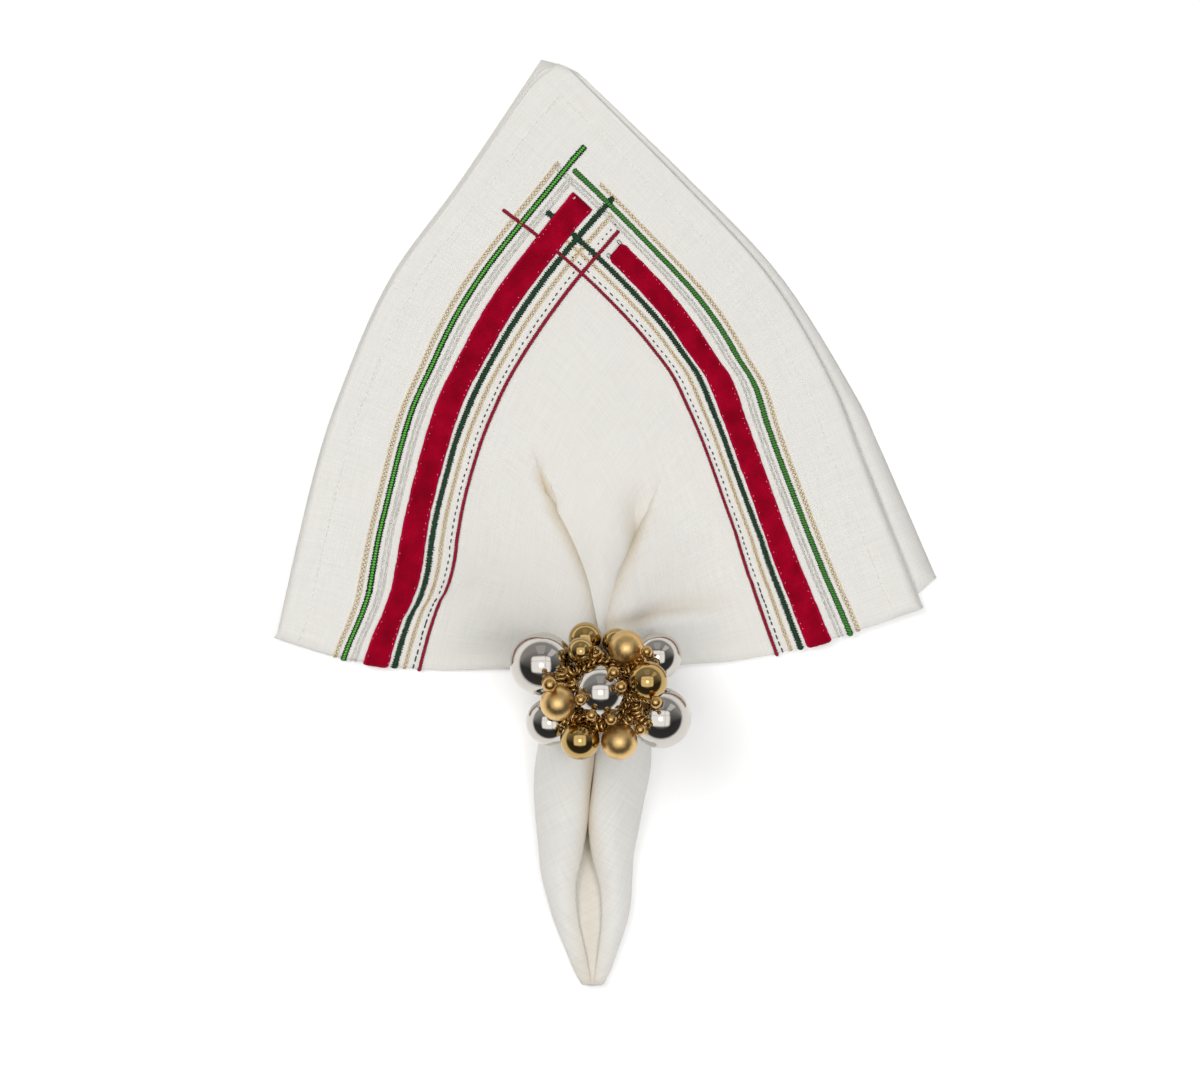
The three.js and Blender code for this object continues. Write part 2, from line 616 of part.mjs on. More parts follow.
// The ring: a plain band with a carrier on its crown and a wire stem to every ball
const CARRIER = { length: 15, width: 7, low: RING.z + RING.bore + 0.4, high: RING.z + RING.outer + 1.4 };
const STEM = { radius: 0.8, sides: 6, reach: 5.5 };

function solidOf(geometry) {
  geometry.deleteAttribute('normal');
  geometry.deleteAttribute('uv');
  const merged = mergeVertices(geometry);
  return new wasm.Manifold(
    new wasm.Mesh({
      numProp: 3,
      vertProperties: new Float32Array(merged.attributes.position.array),
      triVerts: new Uint32Array(merged.index.array),
    }),
  );
}

function band() {
  const half = RING.width / 2;
  const { edge } = RING;
  const profile = [
    [RING.bore, -half + edge],
    [RING.bore + edge, -half],
    [RING.outer - edge, -half],
    [RING.outer, -half + edge],
    [RING.outer, half - edge],
    [RING.outer - edge, half],
    [RING.bore + edge, half],
    [RING.bore, half - edge],
    [RING.bore, -half + edge],
  ];
  const points = profile.map(([x, y]) => new THREE.Vector2(x, y));
  const geometry = new THREE.LatheGeometry(points, RING.sides, Math.PI / RING.sides);
  return geometry.translate(RING.x, RING.y, RING.z);
}

function stem({ dx, dy, z, radius }) {
  const ball = new THREE.Vector3(RING.x + dx, RING.y + dy, z);
  const foot = new THREE.Vector3(dx, dy, 0);
  foot.setLength(Math.min(STEM.reach, foot.length()));
  foot.y = Math.max(-CARRIER.width / 2 + STEM.radius, Math.min(CARRIER.width / 2 - STEM.radius, foot.y));
  foot.add(new THREE.Vector3(RING.x, RING.y, CARRIER.high - STEM.radius));
  const way = ball.clone().sub(foot);
  const length = way.length() - radius - CLEAR;
  const geometry = new THREE.CylinderGeometry(STEM.radius, STEM.radius, length, STEM.sides);
  geometry.translate(0, length / 2, 0);
  geometry.applyQuaternion(
    new THREE.Quaternion().setFromUnitVectors(new THREE.Vector3(0, 1, 0), way.normalize()),
  );
  return geometry.translate(...foot.toArray());
}

function ring() {
  const carrier = new THREE.BoxGeometry(CARRIER.length, CARRIER.width, CARRIER.high - CARRIER.low);
  carrier.translate(RING.x, RING.y, (CARRIER.low + CARRIER.high) / 2);
  let whole = solidOf(band()).add(solidOf(carrier));
  for (const row of BALLS) whole = whole.add(solidOf(stem(row)));
  const { vertProperties, triVerts } = whole.getMesh();
  return solidGeometry(vertProperties, Array.from(triVerts));
}

const part = new THREE.Group();
function add(name, geometry, finish) {
  const mesh = new THREE.Mesh(geometry, new THREE.MeshStandardMaterial(FINISHES[finish]));
  mesh.name = name;
  part.add(mesh);
  return mesh;
}

add('napkin', napkin(), 'linen');
for (const row of RIBBONS) add(row.name, ribbon(row), 'velvet');
add('ring', ring(), 'ring');
for (const [rows, { around, down }] of [[BALLS, BALL_MESH], [BEADS, BEAD_MESH]]) {
  for (const { name, finish, dx, dy, z, radius } of rows) {
    const ball = add(name, new THREE.SphereGeometry(radius, around, down), finish);
    ball.position.set(RING.x + dx, RING.y + dy, z);
  }
}

export default part;
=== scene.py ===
"""Looks of the folded linen napkin in its ring of balls.

Lengths are millimetres in the tables and metres in the meshes. Along the napkin's diagonal
s runs from the hemmed corner to its folded centre, and f from -1 at the left edge to 1 at
the right edge. On the front quarter u and v are the distances to its left and right hems.
"""

import math
from functools import partialmethod

import bpy
import numpy as np
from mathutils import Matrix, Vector


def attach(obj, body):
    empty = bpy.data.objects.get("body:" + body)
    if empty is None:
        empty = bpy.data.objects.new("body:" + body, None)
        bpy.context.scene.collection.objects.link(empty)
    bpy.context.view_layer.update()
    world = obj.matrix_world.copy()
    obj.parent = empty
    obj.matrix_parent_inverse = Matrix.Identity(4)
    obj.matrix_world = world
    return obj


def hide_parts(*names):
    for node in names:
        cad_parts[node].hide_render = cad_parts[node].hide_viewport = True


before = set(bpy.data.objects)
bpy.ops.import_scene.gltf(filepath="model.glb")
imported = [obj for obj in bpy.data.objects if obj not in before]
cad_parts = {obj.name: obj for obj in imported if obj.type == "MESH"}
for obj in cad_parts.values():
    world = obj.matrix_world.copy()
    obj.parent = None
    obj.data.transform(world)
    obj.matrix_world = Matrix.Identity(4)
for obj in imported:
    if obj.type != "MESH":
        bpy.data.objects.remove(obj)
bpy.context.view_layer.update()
MM = 0.001
FULL_TURN = 2 * math.pi
rng = np.random.default_rng(7)

# The cloth's form, as in the solids
QUARTER = 254.0
LEAF, LEAF_GAP, LEAVES = 1.0, 0.4, 4
PITCH = LEAF + LEAF_GAP
STACK = LEAVES * LEAF + (LEAVES - 1) * LEAF_GAP
PRESSED, PRESSED_TIP = 2.4, 2.0
RING = {"x": -2.6, "y": -66.4, "bore": 20.0, "wall": 1.8, "width": 10.0, "sides": 48}
RING["outer"] = RING["bore"] + RING["wall"]
RING["z"] = RING["outer"] * math.cos(math.pi / RING["sides"])
RING_ROOM = RING["bore"] - PRESSED / 2 - 0.5
RING_REACH = {"fan": RING["width"] / 2 + 1.6, "tail": RING["width"] / 2 + 5}
RING_FLARE = 60.0
DIAGONAL = QUARTER * math.sqrt(2)
CORNER_S = DIAGONAL / 2
OPEN_S = 190.0
MOUTH_S = 256.0
FIRST_S, LAST_S = 1.5, 358.0
# Stretches along s: where each begins, and how long it is
PRESSING = (OPEN_S, 44)  # the leaves are drawn together
THINNING = (325, 30)  # and thin out towards the tail's end
TURNING = (CORNER_S - 16, 32)  # the edges turn from hem to fold
CLOSING = (CORNER_S, OPEN_S - CORNER_S)  # the two right edges come together
STEEPENING = (100, 60)  # the cloth leaves its edges more steeply
PUFFING = (196, 44)  # the wings puff up
LEVELLING = (208, 24)  # the lips of the creases level out
FADING = (244, 8)  # and the shade painted along their lines ends
PUFF = 11.0


def smooth(t):
    u = np.clip(t, 0, 1)
    return u * u * (3 - 2 * u)


def during(stretch, s):
    return smooth((s - stretch[0]) / stretch[1])


def mix(a, b, t):
    return a + (b - a) * t


def track(keys, values, t):
    """Smooth curve through the rows of a table; values may have one column for each t."""
    keys = np.asarray(keys, float)
    values = np.asarray(values, float)
    last = len(keys) - 1
    low = np.maximum(np.arange(last + 1) - 1, 0)
    high = np.minimum(np.arange(last + 1) + 1, last)
    span = (keys[high] - keys[low]).reshape(-1, *[1] * (values.ndim - 1))
    slope = (values[high] - values[low]) / span
    i = np.clip(np.searchsorted(keys, t, "left") - 1, 0, last - 1)
    if values.ndim == 1:
        a, b, sa, sb = values[i], values[i + 1], slope[i], slope[i + 1]
    else:
        n = np.arange(len(t))
        a, b, sa, sb = values[i, n], values[i + 1, n], slope[i, n], slope[i + 1, n]
    h = keys[i + 1] - keys[i]
    u = np.clip((t - keys[i]) / h, 0, 1)
    u2, u3 = u * u, u * u * u
    return (2 * u3 - 3 * u2 + 1) * a + (u3 - 2 * u2 + u) * h * sa + (3 * u2 - 2 * u3) * b + (u3 - u2) * h * sb


class Outline:
    """A smooth line through a few points, walked by its length."""

    def __init__(self, points):
        p = np.array(points, float)
        last = len(p) - 1
        t = np.linspace(0, last, 4001)
        i = np.minimum(t.astype(int), last - 1)
        w = (t - i)[:, None]
        p0, p1, p2, p3 = p[np.maximum(i - 1, 0)], p[i], p[i + 1], p[np.minimum(i + 2, last)]
        v0, v1 = (p2 - p0) / 2, (p3 - p1) / 2
        self.xy = (2 * p1 - 2 * p2 + v0 + v1) * w**3 + (3 * p2 - 3 * p1 - 2 * v0 - v1) * w**2 + v0 * w + p1
        steps = np.linalg.norm(np.diff(self.xy, axis=0), axis=1)
        self.at = np.concatenate([[0], np.cumsum(steps)])
        self.length = self.at[-1]

    def point(self, share):
        d = np.clip(share, 0, 1) * self.length
        return np.stack([np.interp(d, self.at, self.xy[:, k]) for k in (0, 1)], axis=-1)

    def way(self, share):
        step = 0.002
        d = self.point(np.minimum(1, share + step)) - self.point(np.maximum(0, share - step))
        return d / np.linalg.norm(d, axis=-1, keepdims=True)


OUTLINES = {
    "left": {
        "turn": 1,
        "hem": Outline([
            (-25, 187), (-58.7, 136.6), (-87.2, 96.8), (-106.7, 52.3), (-118, 16.4), (-132.2, -45.6),
        ]),
        "fold": Outline([(-132.2, -45.6), (-106.6, -53.2), (-72.6, -58.4), (-48.2, -58.4), (-24, -57)]),
    },
    "right_front": {
        "turn": -1,
        "hem": Outline([
            (-17.5, 183.5), (32, 134), (66, 96.5), (89.6, 56.4), (101.8, 25.8), (125.8, -34.6),
        ]),
        "fold": Outline([(125.8, -34.6), (99.4, -43.2), (67.8, -52.2), (42.6, -56), (19, -56)]),
    },
    "right_back": {
        "turn": -1,
        "hem": Outline([
            (-13, 181.5), (33.4, 136.8), (69.8, 98.2), (98.8, 52.3), (109, 30.9), (131.8, -21.6),
        ]),
        "fold": Outline([(131.8, -21.6), (100, -37), (64, -50), (42, -55), (19, -56)]),
    },
}

MIDDLE = np.array([
    # s, x, y, across
    (0, -19.5, 184.8, 1), (60, -12, 124, 1), (110, -6, 74, 0.9), (160, -3.2, 24.6, 0.62),
    (200, -2, -15, 0.28), (225, -2, -39.7, 0.12), (252, -2.6, -66.4, 0.05), (280, -5, -97.4, 0.05),
    (300, -7.2, -119.6, 0.05), (318, -7.9, -139.5, 0.05), (333, -6.7, -156.2, 0.05),
    (347, -5.9, -171.7, 0.05), (DIAGONAL, -5.6, -186, 0.05),
])
SECTIONS = np.array([
    # s, panel, its z, inner, z, lip, z, crest, z, side, z, under, z, end, z, lag
    (236, 5, 14, 2.4, 22, 1.7, 33.5, 9.5, 37, 18.2, 23, 15.5, 12.3, 10.5, 7.2, 12),
    (264, 5, 12.5, 2.4, 20.5, 1.7, 33, 9.5, 36.8, 18.2, 22, 15.5, 12, 10.5, 6.8, 12),
    (274, 5, 8.5, 2.4, 16, 1.7, 27.5, 10.5, 31, 20.6, 15, 18.5, 5.5, 12, 2.2, 12),
    (286, 5, 6, 2.4, 12, 1.7, 20.5, 11, 23.5, 21.6, 10.5, 19.5, 2.6, 13, 1.2, 11),
    (300, 5, 5, 2.4, 9, 1.7, 14.5, 10.5, 17, 20, 7.6, 18, 1.8, 12, 1.2, 9),
    (313, 4.6, 4.2, 3.4, 7, 3.2, 10.2, 10.4, 12.6, 17.6, 6, 16, 1.6, 10, 1.2, 7),
    (324, 5.6, 3.9, 6, 5.8, 6.2, 7.8, 11.4, 9.6, 16.8, 4.8, 15.3, 1.5, 9.5, 1.2, 5),
    (334, 5.4, 3.8, 5.8, 5.2, 6, 6.6, 10.2, 7.8, 14.6, 4.2, 13.2, 1.4, 8, 1.2, 3.5),
    (344, 3.6, 3.7, 4, 4.6, 4.3, 5.6, 7.6, 6.2, 10.8, 3.8, 9.4, 1.3, 5.5, 1.1, 2),
    (353, 1.9, 3.6, 2.1, 4, 2.3, 4.6, 4.4, 4.9, 6.8, 3.3, 5.6, 1.2, 3, 1.1, 1),
    (DIAGONAL, 0.5, 3.4, 0.7, 3.6, 0.9, 3.8, 1.8, 4, 3, 2.9, 2.3, 1.2, 1.2, 1.1, 0),
])
KNOTS = np.array([0, 0.1, 0.2, 0.31, 0.45, 0.66, 0.85, 1])


def half_width(s):
    return np.minimum(s, DIAGONAL - s)


def thickness(s):
    return mix(mix(STACK, PRESSED, during(PRESSING, s)), PRESSED_TIP, during(THINNING, s))


def unit(v):
    return v / np.maximum(np.linalg.norm(v, axis=-1, keepdims=True), 1e-12)


def edge_of(line, s):
    """Where one side's edge is at s, and which way the cloth leaves it."""
    on_hem = np.clip(s * math.sqrt(2) / QUARTER, 0, 1)
    on_fold = np.clip((s - CORNER_S) * math.sqrt(2) / line["fold"].length, 0, 1)

    def inwards(curve, share, along):
        way = curve.way(share)
        side = np.stack([-way[:, 1], way[:, 0]], axis=-1) * line["turn"]
        return unit(side + way * along)

    past = during(TURNING, s)[:, None]
    way = unit(mix(inwards(line["hem"], on_hem, -1), inwards(line["fold"], on_fold, 1), past))
    at = np.where((s < CORNER_S)[:, None], line["hem"].point(on_hem), line["fold"].point(on_fold))
    return at, way


def spread_points(s, f, back):
    """The fan, spread flat; back moves its right edge from the front leaf's to the rear leaf's."""
    w = half_width(s)
    left = (f < 0)[:, None]
    edges = [edge_of(line, s) for line in OUTLINES.values()]
    (at_left, way_left), (at_front, way_front), (at_back, way_back) = edges
    apart = (back * (1 - during(CLOSING, s)))[:, None]
    at = np.where(left, at_left, mix(at_front, at_back, apart))
    way = np.where(left, way_left, unit(mix(way_front, way_back, apart)))
    x0, y0, across = (track(MIDDLE[:, 0], MIDDLE[:, k], s) for k in (1, 2, 3))
    squeeze = np.where(f < 0, 1, -1) * across * w
    r = 1 - np.abs(f)
    r2, r3 = r * r, r * r * r
    on_edge = 2 * r3 - 3 * r2 + 1
    leave = (r3 - 2 * r2 + r) * w * (1 + 0.14 * during(STEEPENING, s))
    x = on_edge * at[:, 0] + leave * way[:, 0] + (1 - on_edge) * x0 + (r3 - r2) * squeeze
    y = on_edge * at[:, 1] + leave * way[:, 1] + (1 - on_edge) * y0
    puff = PUFF * during(PUFFING, s) * np.sin(math.pi * np.minimum(1, 1.25 * r)) ** 2
    return np.stack([x, y, thickness(s) / 2 + puff], axis=-1)


def gathered_points(s, f):
    """The cloth in the ring and beyond, rolled into two lobes."""
    a = np.abs(f)
    at = np.maximum(s, SECTIONS[0, 0])
    columns = [track(SECTIONS[:, 0], SECTIONS[:, k], at) for k in range(1, 16)]
    zero = np.zeros_like(s)
    xs = np.stack([zero] + columns[0:14:2])
    zs = np.stack([columns[1]] + columns[1:14:2])
    x = track(KNOTS, xs, a)
    z = track(KNOTS, zs, a)
    waiting = np.maximum(0, MOUTH_S - s)
    y = track(MIDDLE[:, 0], MIDDLE[:, 2], s) + (columns[14] - waiting) * a * a
    return np.stack([track(MIDDLE[:, 0], MIDDLE[:, 1], s) + np.sign(f) * x, y, z], axis=-1)


# The two creases that run up from the ring, where the wings lap over the middle panel
LEFT_CREASE = np.array([
    # s, f, mm for each unit of f
    (130, 0.29, 130), (143, 0.262, 120), (158, 0.236, 108), (175, 0.214, 92),
    (191, 0.218, 64), (206, 0.238, 42), (220, 0.24, 26), (240, 0.25, 18),
])
RIGHT_CREASE = np.array([
    (130, 0.37, 130), (150, 0.31, 115), (162, 0.255, 105), (176, 0.232, 92),
    (190, 0.25, 66), (206, 0.278, 42), (220, 0.255, 26), (240, 0.25, 18),
])
# grows = where each crease grows, lip = the wing's edge stands up, tuck = the panel dips beside it,
# lap = the wing lies over it, cut = how deep the narrow line between them is, shade = how strongly shade is
# painted along it
CREASES = [
    {"line": LEFT_CREASE, "side": -1, "grows": (140, 32), "soft": 2.2, "lip": 1.3, "tuck": 1.7,
     "lap": 1.0, "wide": 8, "deep": 4, "cut": 2.5, "shade": 1.0},
    {"line": RIGHT_CREASE, "side": 1, "grows": (150, 36), "soft": 4.0, "lip": 1.3, "tuck": 1.9,
     "lap": 0.9, "wide": 10, "deep": 5, "cut": 1.6, "shade": 0.6},
]
SHARP = 0.5  # how soft a grown crease's step is
CUT_WIDTHS = (1.8, 0.8)  # of the narrow line, where the crease begins and where it is grown
LINE_WIDTH, LINE_LATER = 1.9, 8  # of the painted shade along the line, and how much later it starts than the crease
# The panel between them stands up to their height
PANEL = np.array([
    # s, rise
    (148, 0), (165, 0.8), (175, 1.6), (185, 2.6), (195, 4.2), (205, 7.2), (215, 10.6),
    (222, 12.2), (230, 12.8), (237, 10.5), (244, 5), (250, 0), (260, 0),
])
PANEL_EDGE = 0.235
# Soft folds seen from above, each from one end to the other: how deep (a ridge has less than no
# depth), and how wide on the left and on the right of the way
FOLDS = [np.array(rows) for rows in (
    # x, y, depth, left, right
    ((-18.6, 4.5, 0, 2.2, 1.0), (-20.6, 9, 1.8, 2.4, 1.6), (-23.6, 13.5, 2.8, 2.8, 1.8),
     (-26.5, 18.6, 1.8, 3.2, 2.0), (-28, 23.5, 0, 3, 1.4)),
    ((-18.8, 8, 0, 1.1, 1.1), (-20.6, 12.5, -0.8, 1.6, 1.5), (-22.8, 17.8, -0.8, 1.8, 1.6),
     (-25.6, 23.5, 0, 1.4, 1.2)),
    ((6.4, -20, 0, 2, 1.4), (9.2, -13, 1.4, 3, 2.2), (11, -6, 2.6, 3.8, 2.6), (11.4, 0, 2.7, 4.6, 3.0),
     (11.4, 6, 1.9, 5.2, 3.4), (12.6, 17, 0, 6, 3)),
    ((1.5, -41.5, 2.6, 2.6, 2.8), (8, -40.4, 3.8, 3, 3), (15, -38, 3.8, 3.4, 3.2), (23, -35.4, 3.1, 4, 3.4),
     (33, -33.8, 2.2, 5, 3.6), (45, -33.6, 1.3, 6, 3), (56, -33.4, 0, 6, 3)),
    ((14, -43, 0, 3, 4), (22, -39.8, -2, 2.6, 4), (32, -38.4, -1.6, 2.6, 4), (46, -38.6, 0, 3, 4)),
)]


def creased(s, f):
    """How the creases move the cloth sideways and up, and how much shade is painted along their lines."""
    shift, rise, lines = np.zeros_like(s), np.zeros_like(s), np.zeros_like(s)
    for c in CREASES:
        at, scale = (track(c["line"][:, 0], c["line"][:, k], s) for k in (1, 2))
        away = (f * c["side"] - at) * scale
        on_side = f * c["side"] > -0.05
        grown = during(c["grows"], s)
        size = grown * (1 - during(LEVELLING, s))
        near = on_side * size
        step = np.tanh(away / mix(c["soft"], SHARP, grown))
        wing, panel = np.exp(-np.maximum(away, 0) / c["wide"]), np.exp(np.minimum(away, 0) / c["deep"])
        rise -= c["cut"] * near * np.exp(-((away / mix(*CUT_WIDTHS, size)) ** 2))
        rise += near * np.where(away > 0, c["lip"] * wing * step, c["tuck"] * panel * step)
        shift += near * c["side"] * c["lap"] * np.where(away > 0, -wing**2, panel**2) * np.abs(step)
        # painted shade along each crease line, which warms and darkens the linen's colour
        start, over = c["grows"]
        long = on_side * during((start + LINE_LATER, over), s) * (1 - during(FADING, s))
        lines += c["shade"] * long * np.exp(-((away / LINE_WIDTH) ** 2))
    middle = np.clip(1 - (f / PANEL_EDGE) ** 2, 0, 1)
    return shift, rise + middle * track(PANEL[:, 0], PANEL[:, 1], s) * (s < PANEL[-1, 0]), lines


def folded(x, y):
    """How far the soft folds lower the cloth."""
    total = np.zeros_like(x)
    for fold in FOLDS:
        nearest, here = np.full_like(x, np.inf), np.zeros_like(x)
        for a, b in zip(fold[:-1], fold[1:]):
            way = b[:2] - a[:2]
            share = np.clip(((x - a[0]) * way[0] + (y - a[1]) * way[1]) / (way @ way), 0, 1)
            depth, left, right = mix(a, b, share[:, None])[:, 2:].T
            dx, dy = x - a[0] - way[0] * share, y - a[1] - way[1] * share
            far = np.hypot(dx, dy)
            width = np.where(way[0] * dy > way[1] * dx, left, right)
            here = np.where(far < nearest, depth * np.exp(-((far / width) ** 2)), here)
            nearest = np.minimum(far, nearest)
        total += here
    return total


def cloth_points(s, f, back):
    """Points of the middle of the stack of leaves."""
    a = np.abs(f)
    # the middle is drawn into the ring sooner than the edges
    start = 158 + 84 * a**1.6
    drawn = smooth((s - start) / (246 + 14 * a - start))[:, None]
    p = mix(spread_points(s, f, back), gathered_points(s, f), drawn)
    shift, rise, _ = creased(s, f)
    p[:, 0] += shift
    rise -= folded(p[:, 0], p[:, 1]) * (s < MOUTH_S)
    p[:, 2] = np.maximum(p[:, 2] + rise, thickness(s) / 2)
    reach = np.where(p[:, 1] > RING["y"], RING_REACH["fan"], RING_REACH["tail"])
    beyond = np.maximum(0, np.abs(p[:, 1] - RING["y"]) - reach)
    room = RING_ROOM + RING_FLARE * beyond**2
    dx, dz = p[:, 0] - RING["x"], p[:, 2] - RING["z"]
    shrink = np.minimum(1, room / np.maximum(np.hypot(dx, dz), 1e-9))
    p[:, 0] = RING["x"] + dx * shrink
    p[:, 2] = RING["z"] + dz * shrink
    return p


def cloth_normals(s, f, back):
    ds, df = 0.6, 0.006
    along_s = cloth_points(np.minimum(DIAGONAL, s + ds), f, back) - cloth_points(s - ds, f, back)
    along_f = cloth_points(s, np.minimum(1, f + df), back) - cloth_points(s, np.maximum(-1, f - df), back)
    return unit(np.cross(along_s, along_f))


# The four leaves: how far back each lies, and the left hem's inset
LAYERS = [(1.0, 0.0), (0.94, 0.8), (0.1, 1.8), (0.0, 3.0)]
FRONT = LEAVES - 1
LINEN = 0.46  # thickness of the cloth itself
HEM_THICK = 1.0
HEM_LEFT, HEM_RIGHT = 10.2, 11.4  # depth of the front quarter's hems
HEM_STEP = 1.6  # over which the cloth thins out beside a hem
ALIGNING = (150, 40)  # the insets of the left hem end
CALMING = (150, 70)  # the fan's soft waves end
TAIL_START, TAIL_END = (262, 20), (340, 18)  # the tail's small creases begin and end


def drawn_in(inset, s):
    left = inset * (1 - 0.7 * smooth(s / CORNER_S)) * (1 - during(ALIGNING, s))
    return np.minimum(0.85, left / half_width(s))


def relief(s, f):
    """Small soft waves of the cloth, which the solids leave out."""
    w = f * half_width(s)
    fan = 1 - during(CALMING, s)
    waves = 0.35 * np.sin(s / 13.1 + 0.6 * np.sin(w / 21.0)) * np.sin(w / 17.3 + 0.8)
    waves += 0.22 * np.sin(s / 7.3 + w / 31.0 + 1.1) * np.sin(w / 9.7 - s / 41.0)
    rays = np.sin(math.pi * np.clip((s - 120) / 130, 0, 1)) ** 2
    turn = f * 9.0 + 0.8 * np.sin(s / 30.0)
    folds = 0.55 * rays * np.sin(turn * 2.2 + 0.4) * np.abs(f) ** 0.6
    tail = during(TAIL_START, s) * (1 - during(TAIL_END, s))
    creases = 0.3 * tail * np.sin(s / 5.2 + 3.0 * f) * np.sin(7.0 * f + s / 17.0)
    edge = smooth(np.minimum(s, 60) / 60) * (1 - np.abs(f) ** 8)
    return (waves * fan * (0.35 + 0.65 * edge) + folds * edge + creases) * np.minimum(1, s / 25)


def layer_points(layer, s, f, lift=0.0):
    """Points of the middle of one layer's thickness, or at a lift above it."""
    s, f = np.broadcast_arrays(np.asarray(s, float), np.asarray(f, float))
    shape = s.shape
    s, f = s.ravel(), f.ravel()
    lift = np.broadcast_to(lift, shape).ravel()
    back, inset = LAYERS[layer]
    f = np.where(f < 0, f * (1 - drawn_in(inset, s)), f)
    pitch = mix(PITCH, thickness(s) / LEAVES, during(PRESSING, s))
    height = (layer - (LEAVES - 1) / 2) * pitch + lift
    height = height + relief(s, f) * (0.25 + 0.25 * layer)
    p = cloth_points(s, f, back) + cloth_normals(s, f, back) * height[:, None]
    p[:, 2] = np.maximum(p[:, 2], LINEN / 2)
    return p.reshape(*shape, 3)


def front_at(u, v, lift=0.0):
    """Points above the front layer, at distances u and v from its left and right hems."""
    s = (u + v) / math.sqrt(2)
    f = np.clip((u - v) / math.sqrt(2) / half_width(s), -1, 1)
    return layer_points(FRONT, s, f, LINEN / 2 + lift)


def put(name, data):
    """An object in the scene."""
    obj = bpy.data.objects.new(name, data)
    bpy.context.scene.collection.objects.link(obj)
    return obj


def make(name, points, faces, material, uvs):
    """A mesh object that rides on the part's only body."""
    mesh = bpy.data.meshes.new(name)
    mesh.from_pydata((np.asarray(points) * MM).tolist(), [], [tuple(q) for q in faces])
    mesh.polygons.foreach_set("use_smooth", [True] * len(mesh.polygons))
    if uvs is not None:
        corner = np.empty(len(mesh.loops), np.int32)
        mesh.loops.foreach_get("vertex_index", corner)
        layer = mesh.uv_layers.new(name="UVMap")
        layer.data.foreach_set("uv", np.asarray(uvs, np.float32)[corner].ravel())
    mesh.materials.append(material)
    mesh.update()
    obj = put(name, mesh)
    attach(obj, "root")
    return obj


def grid_faces(rows, columns, closed=False, flip=False, ring=False):
    """Faces between rows of points; closed joins the last column to the first, ring the rows."""
    i, j = np.meshgrid(
        np.arange(rows if ring else rows - 1), np.arange(columns if closed else columns - 1), indexing="ij",
    )
    i, j = i.ravel(), j.ravel()
    below, beside = (i + 1) % rows, (j + 1) % columns
    quads = [i * columns + j, below * columns + j, below * columns + beside, i * columns + beside]
    quads = np.stack(quads, axis=1)
    return quads[:, ::-1] if flip else quads


def grid_uvs(across, along):
    return np.stack(np.broadcast_arrays(across[None, :], along[:, None]), axis=-1)


class Batch:
    """Points, faces and coordinates gathered from several pieces into one mesh."""

    def __init__(self):
        self.points, self.faces, self.uvs, self.count = [], [], [], 0

    def add(self, points, faces, uvs=(0.0, 0.0)):
        points = np.reshape(points, (-1, 3))
        self.points.append(points)
        self.uvs.append(np.broadcast_to(np.reshape(uvs, (-1, 2)), (len(points), 2)))
        self.faces.extend((np.asarray(faces) + self.count).tolist())
        self.count += len(points)

    def add_bar(self, rows, uvs=(0.0, 0.0), flip=False):
        """A closed bar through rows of points, with a cap at each end."""
        n, m = rows.shape[:2]
        caps = np.array([np.arange(m), np.arange((n - 1) * m, n * m)[::-1]]) + self.count
        self.add(rows, grid_faces(n, m, closed=True, flip=flip), uvs)
        self.faces.extend((caps[:, ::-1] if flip else caps).tolist())

    def build(self, name, material, slot):
        return make(name, np.concatenate(self.points), self.faces, material, np.concatenate(self.uvs))


def tube(batch, path, radius, sides=6):
    """A round thread or wire along a path, with both ends rounded off."""
    path = np.asarray(path, float)
    n = len(path)
    way = unit(np.gradient(path, axis=0))
    normal = np.empty_like(path)
    first = np.array([0, 0, 1.0])
    if abs(way[0] @ first) > 0.9:
        first = np.array([1.0, 0, 0])
    normal[0] = unit(first - way[0] * (first @ way[0]))
    for k in range(1, n):
        flat = normal[k - 1] - way[k] * (normal[k - 1] @ way[k])
        normal[k] = flat / max(np.linalg.norm(flat), 1e-9)
    side = np.cross(way, normal)
    turn = np.arange(sides) * FULL_TURN / sides
    ring = np.cos(turn)[None, :, None] * normal[:, None] + np.sin(turn)[None, :, None] * side[:, None]
    start = path[0] - way[0] * radius + ring[0] * radius * 0.35
    end = path[-1] + way[-1] * radius + ring[-1] * radius * 0.35
    points = np.concatenate([start[None], path[:, None] + ring * radius, end[None]])
    along = np.concatenate([[0], np.cumsum(np.linalg.norm(np.diff(path, axis=0), axis=1))])
    along = np.concatenate([along[:1], along, along[-1:]])
    batch.add(points, grid_faces(n + 2, sides, closed=True), grid_uvs(np.arange(sides) / sides, along))


